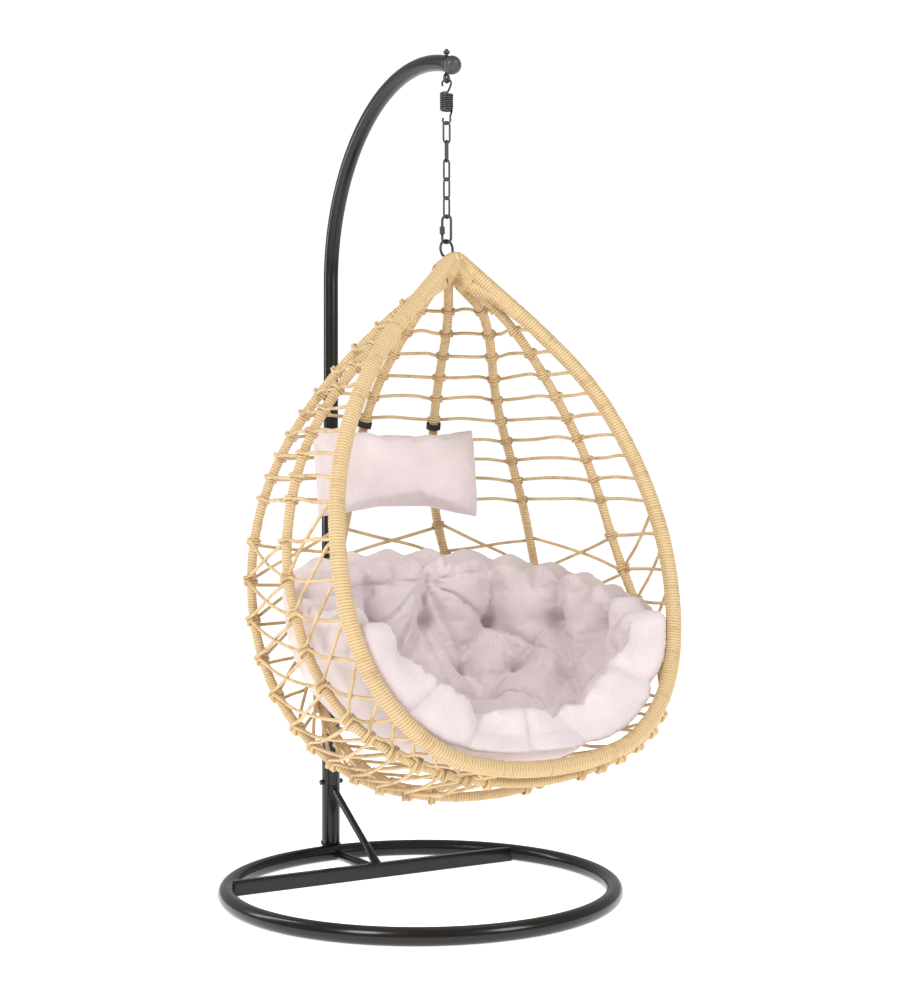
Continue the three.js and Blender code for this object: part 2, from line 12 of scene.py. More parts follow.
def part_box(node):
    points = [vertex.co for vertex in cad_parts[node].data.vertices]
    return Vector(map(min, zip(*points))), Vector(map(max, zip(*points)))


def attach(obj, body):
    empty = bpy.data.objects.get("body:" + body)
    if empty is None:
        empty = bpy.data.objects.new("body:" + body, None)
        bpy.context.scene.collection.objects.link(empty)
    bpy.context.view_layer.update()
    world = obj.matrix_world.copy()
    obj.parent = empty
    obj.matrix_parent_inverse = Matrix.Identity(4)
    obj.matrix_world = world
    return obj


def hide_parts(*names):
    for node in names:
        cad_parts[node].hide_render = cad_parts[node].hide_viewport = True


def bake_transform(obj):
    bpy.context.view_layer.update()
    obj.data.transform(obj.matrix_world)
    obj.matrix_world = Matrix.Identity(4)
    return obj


bl_info = {
    "name": "Hanging Egg Chair",
    "version": (1, 0, 0),
    "blender": (4, 5, 0),
    "location": "View3D > Sidebar > Chair",
    "description": "Makes the rattan basket, cushions, chain and stand of a hanging egg chair",
    "category": "Object",
}

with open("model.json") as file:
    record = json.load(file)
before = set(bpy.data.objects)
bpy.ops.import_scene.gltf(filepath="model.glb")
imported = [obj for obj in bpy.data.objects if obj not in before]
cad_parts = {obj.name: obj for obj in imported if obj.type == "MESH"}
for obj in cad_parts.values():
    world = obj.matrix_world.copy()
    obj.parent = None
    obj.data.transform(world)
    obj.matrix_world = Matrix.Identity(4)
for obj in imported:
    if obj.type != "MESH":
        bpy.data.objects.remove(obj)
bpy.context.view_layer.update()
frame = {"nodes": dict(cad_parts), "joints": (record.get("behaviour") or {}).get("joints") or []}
NODES = frame["nodes"]
JOINTS = {joint["name"]: joint for joint in frame["joints"]}
MM = 0.001

# ---- Places that come from the frame ------------------------------------------------
HANG = Vector(JOINTS["fore_aft_swing"]["pos_m"])  # where the spring's hook sits in the eye
BASKET_MIDDLE = Vector((0, HANG.y - 0.060, 0.8006))  # the weave bulges away from here
SEAT_MIDDLE = Vector((0, HANG.y - 0.150, 0.7166))  # centre of the hollow in the cushion
SEAT_REACH = Vector((0.334, 0.262, 0.288))  # the hollow's half sizes
SEAT_CORNER = 2.7  # 2 is a round plan, more is squarer
RIM_LEAN = math.radians(17.7)


# ---- Sizes and colours that a user would change -------------------------------------
def length(name, description, default):
    return bpy.props.FloatProperty(
        name=name, description=description, default=default, unit="LENGTH"
    )


def hex_colour(name, description, default):
    return bpy.props.StringProperty(name=name, description=description, default=default)


class StandSettings(bpy.types.PropertyGroup):
    steel_colour: hex_colour("Steel", "Black powder coat", "#0a0908")
    cap_colour: hex_colour("Cap", "Moulded end cap", "#37383a")
    weld_size: length("Weld", "Thickness of a weld bead", 0.006)


class ChainSettings(bpy.types.PropertyGroup):
    steel_colour: hex_colour("Steel", "Dark grey plated steel", "#565758")
    wire: length("Link wire", "Thickness of a chain link's wire", 0.0046)
    spring_wire: length("Spring wire", "Thickness of the spring's wire", 0.0046)


class RattanSettings(bpy.types.PropertyGroup):
    colour: hex_colour("Rattan", "Golden tan polyethylene", "#d2b688")
    dark_colour: hex_colour("Dark rattan", "Deepest tone of the strips", "#a8885a")
    rim_radius: length("Rim radius", "Half the thickness of the wrapped rim", 0.018)
    rib_radius: length("Rib radius", "Half the thickness of a wrapped rib", 0.0115)
    turn: length("Turn", "Width of one turn of the wrapping", 0.0065)
    groove: length("Groove", "Depth between two turns", 0.0022)
    strand: length("Strand", "Thickness of a woven strand", 0.0078)


class CushionSettings(bpy.types.PropertyGroup):
    colour: hex_colour("Cloth", "Pale pinkish grey polyester", "#ddd0d1")
    shade_colour: hex_colour("Cloth shade", "Darker threads of the cloth", "#cec0c1")
    tuft_depth: length("Tuft", "How deep a tuft is pulled in", 0.056)
    crease_depth: length("Crease", "Depth of a crease between two tufts", 0.030)
    puff: length("Puff", "How far the filling stands out between creases", 0.020)


# ---- Small helpers ------------------------------------------------------------------
def linear(hex_value):
    """Turns an sRGB hex value into linear red, green, blue and alpha."""
    digits = hex_value.lstrip("#")
    shares = [int(digits[i : i + 2], 16) / 255 for i in (0, 2, 4)]
    return [c / 12.92 if c <= 0.04045 else ((c + 0.055) / 1.055) ** 2.4 for c in shares] + [1.0]


def feed(tree, node, links):
    """Gives each input of a node a value, or the node or socket that feeds it."""
    for key, value in links.items():
        if isinstance(value, bpy.types.Node):
            value = value.outputs[0]
        if isinstance(value, bpy.types.NodeSocket):
            tree.links.new(value, node.inputs[key])
        else:
            node.inputs[key].default_value = value


def add_node(tree, kind, links=None, **settings):
    """Adds a node, with its own settings and what feeds its inputs."""
    made = tree.nodes.new(kind)
    for name, value in settings.items():
        setattr(made, name, value)
    feed(tree, made, links or {})
    return made


def maths(tree, operation, *values):
    """A math node on one or two values."""
    return add_node(tree, "ShaderNodeMath", dict(enumerate(values)), operation=operation)


def mesh_object(name, points, faces, material, smooth=True):
    """A plain mesh object at the origin."""
    mesh = bpy.data.meshes.new(name)
    mesh.from_pydata([tuple(p) for p in points], [], faces)
    mesh.polygons.foreach_set("use_smooth", [smooth] * len(mesh.polygons))
    mesh.update()
    made = bpy.data.objects.new(name, mesh)
    bpy.context.scene.collection.objects.link(made)
    mesh.materials.append(material)
    return made


def finish_piece(piece, body, slot, *replaced):
    """Says which body a piece moves with and the nodes that it stands for. The slot is not used."""
    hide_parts(*replaced)
    if body:
        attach(piece, body)
    return piece


def carried(points, closed=False):
    """A tangent, a side and an up vector at each point of a path, without twist."""
    points = np.asarray(points, float)
    ahead = np.roll(points, -1, 0) - np.roll(points, 1, 0)
    if not closed:
        ahead[0] = points[1] - points[0]
        ahead[-1] = points[-1] - points[-2]
    ahead /= np.linalg.norm(ahead, axis=1)[:, None]
    side = np.cross(ahead[0], (0.0, 0.0, 1.0))
    if np.linalg.norm(side) < 0.1:
        side = np.cross(ahead[0], (0.0, 1.0, 0.0))
    sides = []
    for direction in ahead:
        side = side - direction * side.dot(direction)
        side /= np.linalg.norm(side)
        sides.append(side)
    sides = np.array(sides)
    if closed:
        sine = np.dot(np.cross(sides[-1], sides[0]), ahead[0])
        missing = math.atan2(sine, sides[-1].dot(sides[0]))
        for i, direction in enumerate(ahead):
            turn = Matrix.Rotation(missing * i / len(ahead), 3, Vector(direction))
            sides[i] = turn @ Vector(sides[i])
    return ahead, sides, np.cross(ahead, sides)


def tube(name, points, radius, material, sides=24, closed=False, flat=None):
    """A round bar along a path, with one radius or one for each point. `flat` scales its height."""
    points = np.asarray(points, float)
    count = len(points)
    radii = np.broadcast_to(np.asarray(radius, float), (count,))
    heights = radii * (1.0 if flat is None else np.asarray(flat, float))
    _, across, up = carried(points, closed)
    angles = np.arange(sides) * 2 * math.pi / sides
    rings = (
        points[:, None]
        + across[:, None] * np.cos(angles)[None, :, None] * radii[:, None, None]
        + up[:, None] * np.sin(angles)[None, :, None] * heights[:, None, None]
    )
    faces = []
    for i in range(count if closed else count - 1):
        j = (i + 1) % count
        for k in range(sides):
            m = (k + 1) % sides
            faces.append((i * sides + k, i * sides + m, j * sides + m, j * sides + k))
    if not closed:
        faces.append(tuple(reversed(range(sides))))
        faces.append(tuple(range((count - 1) * sides, count * sides)))
    return mesh_object(name, rings.reshape(-1, 3), faces, material)


def capped(points, radius, chamfer):
    """A path and its radii with a small rounded edge added at both ends."""
    points = [Vector(p) for p in points]
    first = (points[1] - points[0]).normalized()
    last = (points[-1] - points[-2]).normalized()
    steps = [(0.0, 1.0), (0.3, 0.3), (1.0, 0.0)]
    start = [points[0] + first * chamfer * along for along, _ in steps]
    end = [points[-1] - last * chamfer * along for along, _ in reversed(steps)]
    edge = [radius - chamfer * inward for _, inward in steps]
    path = start + points[1:-1] + end
    return path, edge + [radius] * (len(points) - 2) + edge[::-1]


def smooth_path(points, per_step=12, closed=False):
    """A Catmull-Rom curve through the points."""
    points = np.asarray(points, float)
    if closed:
        knots = np.vstack([points[-1], points, points[0], points[1]])
    else:
        knots = np.vstack([2 * points[0] - points[1], points, 2 * points[-1] - points[-2]])
    result = []
    for i in range(1, len(knots) - 2):
        a, b, c, d = knots[i - 1 : i + 3]
        for t in np.arange(per_step) / per_step:
            square = (2 * a - 5 * b + 4 * c - d) * t * t
            cube = (3 * b - a - 3 * c + d) * t**3
            result.append(0.5 * (2 * b + (c - a) * t + square + cube))
    if not closed:
        result.append(points[-1])
    return np.array(result)


def joined(name, pieces):
    """One object from several meshes."""
    bpy.ops.object.select_all(action="DESELECT")
    for piece in pieces:
        piece.select_set(True)
    bpy.context.view_layer.objects.active = pieces[0]
    bpy.ops.object.join()
    pieces[0].name = name
    return pieces[0]


def bevelled_block(name, low, high, bevel, material):
    """A box with rounded edges."""
    block = bmesh.new()
    bmesh.ops.create_cube(block, size=1)
    middle = (Vector(low) + Vector(high)) / 2
    size = Vector(high) - Vector(low)
    bmesh.ops.scale(block, vec=size, verts=block.verts)
    bmesh.ops.translate(block, vec=middle, verts=block.verts)
    bmesh.ops.bevel(
        block, geom=block.edges[:], offset=bevel, segments=4, profile=0.5, affect="EDGES"
    )
    mesh = bpy.data.meshes.new(name)
    block.to_mesh(mesh)
    block.free()
    mesh.polygons.foreach_set("use_smooth", [True] * len(mesh.polygons))
    mesh.materials.append(material)
    made = bpy.data.objects.new(name, mesh)
    bpy.context.scene.collection.objects.link(made)
    return made


def hexagon(name, start, end, across, material):
    """A nut or a bolt head: six sides with the corners turned off at both ends."""
    start, end = Vector(start), Vector(end)
    along = (end - start).normalized()
    side = along.orthogonal().normalized()
    up = along.cross(side)
    height = (end - start).length
    corner = across / math.sqrt(3)
    turned = corner - across / 2
    end_radius = across / 2 * 0.98
    rows = [(0.0, end_radius), (turned * 0.5, corner),
            (height - turned * 0.5, corner), (height, end_radius)]
    points, faces = [], []
    for height_at, radius in rows:
        for k in range(12):
            flat_radius = min(radius, across / 2 / math.cos(math.radians(30 if k % 2 == 0 else 0)))
            angle = k * math.pi / 6
            out = side * math.cos(angle) + up * math.sin(angle)
            points.append(start + along * height_at + out * flat_radius)
    for i in range(3):
        for k in range(12):
            m = (k + 1) % 12
            faces.append((i * 12 + k, i * 12 + m, (i + 1) * 12 + m, (i + 1) * 12 + k))
    faces.append(tuple(reversed(range(12))))
    faces.append(tuple(range(36, 48)))
    return mesh_object(name, points, faces, material, smooth=False)


# ---- Materials ----------------------------------------------------------------------
def new_material(name):
    """A material with one Principled shader, and its tree."""
    material = bpy.data.materials.new(name)
    material.use_nodes = True
    tree = material.node_tree
    return material, tree, tree.nodes["Principled BSDF"]


def object_place(tree):
    return add_node(tree, "ShaderNodeTexCoord").outputs["Object"]


def noise(tree, place, size, detail):
    """A noise whose patches are about `size` metres across."""
    return add_node(
        tree, "ShaderNodeTexNoise", {"Vector": place, "Scale": 1 / size, "Detail": detail}
    )


def mixed(tree, share, low, high):
    """A colour between two others."""
    links = {0: share, 6: low, 7: high}
    return add_node(tree, "ShaderNodeMix", links, data_type="RGBA").outputs[2]


def bumped(tree, height, strength, depth):
    """A normal that follows a height."""
    return add_node(
        tree, "ShaderNodeBump", {"Height": height, "Strength": strength, "Distance": depth}
    )


def powder_coated_steel():
    """Steel tube sprayed with powder and baked: glossy black with a faint orange peel."""
    material, tree, shader = new_material("powder_coated_steel")
    place = object_place(tree)
    peel = noise(tree, place, 4 * MM, 2.0)
    wear = noise(tree, place, 60 * MM, 4.0)
    rough = add_node(
        tree, "ShaderNodeMapRange",
        {"Value": wear, "From Min": 0.3, "From Max": 0.7, "To Min": 0.2, "To Max": 0.3},
    )
    steel = linear(bpy.context.scene.chair_stand.steel_colour)
    feed(tree, shader, {
        "Base Color": mixed(tree, wear, steel, linear("#110f0e")),
        "Roughness": rough,
        "Normal": bumped(tree, peel, 0.06, 0.3 * MM),
        "Coat Weight": 0.25,
        "IOR": 1.38,
        "Coat Roughness": 0.12,
    })
    return material


def plated_steel():
    """Bent wire, zinc plated and blackened: dull dark grey with brighter rubbed places."""
    material, tree, shader = new_material("plated_steel")
    cloud = noise(tree, object_place(tree), 9 * MM, 4.0)
    rubbed = linear(bpy.context.scene.chair_chain.steel_colour)
    rough = add_node(
        tree, "ShaderNodeMapRange", {"Value": cloud, "To Min": 0.32, "To Max": 0.55}
    )
    feed(tree, shader, {
        "Base Color": mixed(tree, cloud, linear("#3b3c3d"), rubbed),
        "Roughness": rough,
        "Metallic": 0.9,
    })
    return material


def moulded_plastic():
    """Injection moulded polyethylene plug: dark grey with a fine spark-eroded grain."""
    material, tree, shader = new_material("moulded_plastic")
    grain = noise(tree, object_place(tree), 0.8 * MM, 3.0)
    feed(tree, shader, {
        "Normal": bumped(tree, grain, 0.25, 0.15 * MM),
        "Base Color": linear(bpy.context.scene.chair_stand.cap_colour),
        "Roughness": 0.42,
        "IOR": 1.5,
    })
    return material


def extruded_rattan(name, along_attribute=None):
    """Extruded polyethylene strip: golden tan, each turn its own tone, with a waxy sheen. On a
    wound bar the grooves between turns get painted shade.
    """
    settings = bpy.context.scene.chair_rattan
    material, tree, shader = new_material(name)
    place = object_place(tree)
    broad = noise(tree, place, 45 * MM, 3.0)
    fine = noise(tree, place, 3 * MM, 4.0)
    tone = broad
    if along_attribute:
        turn = add_node(tree, "ShaderNodeAttribute", attribute_name=along_attribute)
        chance = add_node(
            tree, "ShaderNodeTexWhiteNoise", {"W": turn.outputs["Fac"]}, noise_dimensions="1D"
        )
        tone = maths(tree, "ADD", maths(tree, "MULTIPLY", chance, 0.35), broad)
    tone = maths(tree, "ADD", tone, maths(tree, "MULTIPLY", fine, 0.5))
    ramp = add_node(tree, "ShaderNodeValToRGB", {0: tone})
    stops = ((0.45, settings.dark_colour), (0.82, settings.colour))
    for element, (position, hex_value) in zip(ramp.color_ramp.elements, stops):
        element.position = position
        element.color = linear(hex_value)
    colour = ramp.outputs[0]
    if along_attribute:
        # Painted shade: the deeper a spot lies in the groove between two turns, the more its colour
        # is darkened towards a deep brown.
        groove = add_node(tree, "ShaderNodeAttribute", attribute_name="groove")
        groove_shade = add_node(
            tree, "ShaderNodeMapRange",
            {"Value": groove.outputs["Fac"], "From Min": 0.12, "To Max": 0.85},
        )
        colour = mixed(tree, groove_shade, colour, linear("#7c5b33"))
    feed(tree, shader, {
        "Base Color": colour,
        "Normal": bumped(tree, fine, 0.35, 0.5 * MM),
        "Roughness": 0.5,
        "IOR": 1.5,
    })
    return material


def woven_polyester():
    """Plain-woven polyester canvas: matt, with a soft bloom where the light grazes it."""
    settings = bpy.context.scene.chair_cushion
    material, tree, shader = new_material("woven_polyester")
    place = object_place(tree)
    drawn_thread = 1.5 * MM  # the real thread is 0.4 mm; it is drawn wider so that it shows
    weft, warp = (
        add_node(
            tree, "ShaderNodeTexWave",
            {"Vector": place, "Scale": 1 / (20 * drawn_thread) * 2, "Distortion": 1.5,
             "Detail": 1.0},
            bands_direction=direction,
        )
        for direction in ("DIAGONAL", "Z")
    )
    weave = maths(tree, "MULTIPLY", weft.outputs[1], warp.outputs[1])
    cloud = noise(tree, place, 90 * MM, 5.0)
    slub = noise(tree, place, 2.5 * MM, 3.0)
    share = add_node(
        tree, "ShaderNodeMapRange",
        {"Value": maths(tree, "MULTIPLY", cloud, slub), "From Min": 0.15, "From Max": 0.38},
    )
    shade, light = linear(settings.shade_colour), linear(settings.colour)
    feed(tree, shader, {
        "Base Color": mixed(tree, share, shade, light),
        "Normal": bumped(tree, maths(tree, "ADD", weave, slub), 0.25, 0.4 * MM),
        "Roughness": 0.88,
        "Sheen Weight": 0.35,
        "Sheen Roughness": 0.5,
    })
    return material


def woven_webbing():
    """Black polypropylene webbing: ribbed across its length."""
    material, tree, shader = new_material("woven_webbing")
    links = {"Vector": object_place(tree), "Scale": 1 / (6 * MM)}
    ribs = add_node(tree, "ShaderNodeTexWave", links, bands_direction="Z")
    feed(tree, shader, {
        "Normal": bumped(tree, ribs.outputs[1], 0.5, 0.4 * MM),
        "Base Color": linear("#1d1c1e"),
        "Roughness": 0.7,
    })
    return material


MAKERS = {
    "powder_coated_steel": powder_coated_steel,
    "plated_steel": plated_steel,
    "moulded_plastic": moulded_plastic,
    "extruded_rattan": lambda: extruded_rattan("extruded_rattan"),
    "wound_rattan": lambda: extruded_rattan("wound_rattan", "turn_number"),
    "woven_polyester": woven_polyester,
    "woven_webbing": woven_webbing,
}


def material_of(name):
    """Each material is made once, when a piece first asks for it."""
    return bpy.data.materials.get(name) or MAKERS[name]()


# ---- Geometry node trees ------------------------------------------------------------
def group_tree(name, inputs):
    """A geometry tree with a Geometry input and output and named number inputs."""
    tree = bpy.data.node_groups.new(name, "GeometryNodeTree")
    tree.interface.new_socket("Geometry", in_out="INPUT", socket_type="NodeSocketGeometry")
    for label, kind in inputs.items():
        tree.interface.new_socket(label, in_out="INPUT", socket_type=kind)
    tree.interface.new_socket("Geometry", in_out="OUTPUT", socket_type="NodeSocketGeometry")
    return tree, tree.nodes.new("NodeGroupInput").outputs, tree.nodes.new("NodeGroupOutput")


def end_tree(tree, output, shape, material):
    """Instances made real, shaded smooth, and given their material."""
    real = add_node(tree, "GeometryNodeRealizeInstances", {"Geometry": shape})
    soft = add_node(tree, "GeometryNodeSetShadeSmooth", {"Geometry": real})
    painted = add_node(tree, "GeometryNodeSetMaterial", {"Geometry": soft, "Material": material})
    tree.links.new(painted.outputs[0], output.inputs[0])


def made_by_tree(name, source, tree, values):
    """Runs a geometry tree on an object and keeps the result as a plain mesh object."""
    modifier = source.modifiers.new("Make", "NODES")
    modifier.node_group = tree
    for item in tree.interface.items_tree:
        if item.in_out == "INPUT" and item.name in values:
            modifier[item.identifier] = values[item.name]
    graph = bpy.context.evaluated_depsgraph_get()
    mesh = bpy.data.meshes.new_from_object(source.evaluated_get(graph))
    mesh.name = name
    made = bpy.data.objects.new(name, mesh)
    bpy.context.scene.collection.objects.link(made)
    bpy.data.objects.remove(source)
    return made


def curve_object(name, paths):
    """A curve object with one open poly spline for each path."""
    curve = bpy.data.curves.new(name, "CURVE")
    curve.dimensions = "3D"
    for path in paths:
        spline = curve.splines.new("POLY")
        spline.points.add(len(path) - 1)
        spline.points.foreach_set("co", np.c_[np.asarray(path, float), np.ones(len(path))].ravel())
    made = bpy.data.objects.new(name, curve)
    bpy.context.scene.collection.objects.link(made)
    return made


def stored(tree, geometry, name, value):
    """The geometry with a number kept on each of its points."""
    return add_node(
        tree, "GeometryNodeStoreNamedAttribute",
        {"Geometry": geometry, "Name": name, "Value": value}, data_type="FLOAT", domain="POINT",
    )


def named(tree, name, kind="FLOAT"):
    """A value kept on each point under a name."""
    return add_node(tree, "GeometryNodeInputNamedAttribute", {"Name": name}, data_type=kind)


def resampled(tree, given):
    links = {"Curve": given["Geometry"], "Length": given["Step"]}
    return add_node(tree, "GeometryNodeResampleCurve", links, mode="LENGTH")


def section(tree, given):
    links = {"Resolution": given["Sides"], "Radius": given["Radius"]}
    return add_node(tree, "GeometryNodeCurvePrimitiveCircle", links)


def swept(tree, line, profile):
    links = {"Curve": line, "Profile Curve": profile, "Fill Caps": True}
    return add_node(tree, "GeometryNodeCurveToMesh", links)


GROOVE_SHARPNESS = 2.2
TURN_UNEVENNESS = 0.7 * MM


def winding_tree():
    """A bar wound with strip: a swept circle with a spiral groove between the turns."""
    tree, given, output = group_tree(
        "Wound strip",
        {"Radius": "NodeSocketFloat", "Turn": "NodeSocketFloat", "Groove": "NodeSocketFloat",
         "Step": "NodeSocketFloat", "Sides": "NodeSocketInt", "Offset": "NodeSocketFloat"},
    )
    gone = add_node(tree, "GeometryNodeSplineParameter").outputs["Length"]
    line = stored(tree, resampled(tree, given), "along", gone)
    share = add_node(tree, "GeometryNodeSplineParameter").outputs["Factor"]
    ring = stored(tree, section(tree, given), "around", share)
    bar = swept(tree, line, ring)
    turns = maths(tree, "DIVIDE", named(tree, "along"), given["Turn"])
    turns = maths(tree, "ADD", turns, named(tree, "around"))
    turns = maths(tree, "ADD", turns, given["Offset"])
    wave = maths(tree, "SINE", maths(tree, "MULTIPLY", turns, math.pi))
    dip = maths(tree, "SUBTRACT", 1.0, maths(tree, "ABSOLUTE", wave))
    dip = maths(tree, "POWER", dip, GROOVE_SHARPNESS)
    depth = maths(tree, "MULTIPLY", dip, given["Groove"])
    # Neighbouring turns do not lie at quite the same height.
    number = maths(tree, "FLOOR", turns)
    chance = add_node(tree, "ShaderNodeTexWhiteNoise", {"W": number}, noise_dimensions="1D")
    depth = maths(tree, "ADD", depth, maths(tree, "MULTIPLY", chance, TURN_UNEVENNESS))
    inward = maths(tree, "MULTIPLY", depth, -1.0)
    normal = add_node(tree, "GeometryNodeInputNormal")
    links = {0: normal, "Scale": inward}
    shift = add_node(tree, "ShaderNodeVectorMath", links, operation="SCALE")
    bar = stored(tree, bar, "turn_number", number)
    # The groove's share is kept for the rattan shader, which uses it to paint shade into the
    # grooves.
    bar = stored(tree, bar, "groove", dip)
    moved = add_node(tree, "GeometryNodeSetPosition", {"Geometry": bar, "Offset": shift})
    end_tree(tree, output, moved, material_of("wound_rattan"))
    return tree


def strand_tree():
    """Round strands along their paths."""
    tree, given, output = group_tree(
        "Woven strands",
        {"Radius": "NodeSocketFloat", "Step": "NodeSocketFloat", "Sides": "NodeSocketInt"},
    )
    bar = swept(tree, resampled(tree, given), section(tree, given))
    end_tree(tree, output, bar, material_of("extruded_rattan"))
    return tree


def scatter_tree(name, material):
    """One shape set on each point, turned and scaled by the point's own values."""
    tree, given, output = group_tree(name, {"Shape": "NodeSocketObject"})
    shape = add_node(tree, "GeometryNodeObjectInfo", {"Object": given["Shape"]})
    set_out = add_node(
        tree, "GeometryNodeInstanceOnPoints",
        {"Points": given["Geometry"], "Instance": shape.outputs["Geometry"],
         "Rotation": named(tree, "turn", "QUATERNION"),
         "Scale": named(tree, "size", "FLOAT_VECTOR")},
    )
    end_tree(tree, output, set_out, material)
    return tree


def scattered(name, tree, shape, places):
    """Copies of a shape at (position, turn, size) places, as one mesh. The shape is used up."""
    points = bpy.data.meshes.new(name + "_places")
    points.from_pydata([tuple(place[0]) for place in places], [], [])
    turns = points.attributes.new("turn", "QUATERNION", "POINT")
    turns.data.foreach_set("value", np.array([place[1] for place in places], float).ravel())
    sizes = points.attributes.new("size", "FLOAT_VECTOR", "POINT")
    sizes.data.foreach_set("vector", np.array([place[2] for place in places], float).ravel())
    source = bpy.data.objects.new(name + "_places", points)
    bpy.context.scene.collection.objects.link(source)
    made = made_by_tree(name, source, tree, {"Shape": shape})
    bpy.data.objects.remove(shape)
    return made


# ---- Stage --------------------------------------------------------------------------
CAMERA_PLACE = (-1.955, -3.455, 0.932)
CAMERA_LOOKING = Vector((0.5110, 0.8596, 0.0))
CAMERA_LENS = 60.9  # on a sensor 36 mm tall
FLOOR_HALF = 30.0
FLOOR_GLOW = 0.8
BACKDROP_LIGHTING, BACKDROP_SEEN = 0.45, 1.05
# Each lamp's name, place, aim, size and power.
LAMPS = (
    ("key", (-3.4, -1.6, 3.4), (0, 0, 0.9), (1.2, 2.0), 105),
    ("fill", (1.6, -3.8, 2.9), (0, 0, 0.7), (1.4, 1.8), 75),
    ("rim", (-2.6, 2.4, 2.6), (0, 0, 1.1), (0.5, 2.6), 40),
)


class MakeStage(bpy.types.Operator):
    """Camera, pale floor and soft studio light"""

    bl_idname = "chair.make_stage"
    bl_label = "Stage"

    def execute(self, context):
        scene = context.scene
        camera = bpy.data.objects.new("camera", bpy.data.cameras.new("camera"))
        scene.collection.objects.link(camera)
        camera.data.sensor_fit = "VERTICAL"
        camera.data.sensor_height = 36
        camera.data.lens = CAMERA_LENS
        camera.location = CAMERA_PLACE
        camera.rotation_euler = CAMERA_LOOKING.to_track_quat("-Z", "Y").to_euler()
        scene.camera = camera
        scene.view_settings.view_transform = "Standard"

        floor_material, tree, shader = new_material("painted_floor")
        links = {"Vector": object_place(tree), "Scale": 0.8}
        cloud = add_node(tree, "ShaderNodeTexNoise", links)
        # The paper floor is lit from under, as a catalogue table is, so it stays white.
        feed(tree, shader, {
            "Base Color": mixed(tree, cloud, linear("#fbfbfb"), linear("#f7f7f7")),
            "Roughness": 0.9,
            "Emission Color": (1, 1, 1, 1),
            "Emission Strength": FLOOR_GLOW,
        })
        half = FLOOR_HALF
        corners = [(-half, -half, 0), (half, -half, 0), (half, half, 0), (-half, half, 0)]
        floor = mesh_object("floor", corners, [(0, 1, 2, 3)], floor_material, smooth=False)

        world = bpy.data.worlds.new("studio")
        world.use_nodes = True
        ray = add_node(world.node_tree, "ShaderNodeLightPath")
        power = add_node(
            world.node_tree, "ShaderNodeMapRange",
            {"Value": ray.outputs["Is Camera Ray"], "To Min": BACKDROP_LIGHTING,
             "To Max": BACKDROP_SEEN},
        )
        feed(world.node_tree, world.node_tree.nodes["Background"], {0: (1, 1, 1, 1), 1: power})
        scene.world = world

        for name, place, aim, size, power in LAMPS:
            light = bpy.data.lights.new(name, "AREA")
            light.shape = "RECTANGLE"
            light.size, light.size_y = size
            light.energy = power
            made = bpy.data.objects.new(name, light)
            scene.collection.objects.link(made)
            made.location = place
            made.rotation_euler = (Vector(aim) - Vector(place)).to_track_quat("-Z", "Y").to_euler()
        return {"FINISHED"}


# ---- Stand --------------------------------------------------------------------------
ARM_BEND_RADIUS = 0.458
ARM_BEND_Z = 1.498
ARM_BEND_ANGLE = math.radians(110.5)


def weld_bead(name, middle, normal, radius, thickness, material):
    """A slightly lumpy ring of weld round a joint."""
    normal = Vector(normal).normalized()
    side = normal.orthogonal().normalized()
    up = normal.cross(side)
    points, radii = [], []
    steps = 72
    for i in range(steps):
        angle = i * 2 * math.pi / steps
        points.append(Vector(middle) + (side * math.cos(angle) + up * math.sin(angle)) * radius)
        radii.append(thickness * (0.5 + 0.06 * math.sin(angle * 18)))
    return tube(name, points, radii, material, sides=10, closed=True)


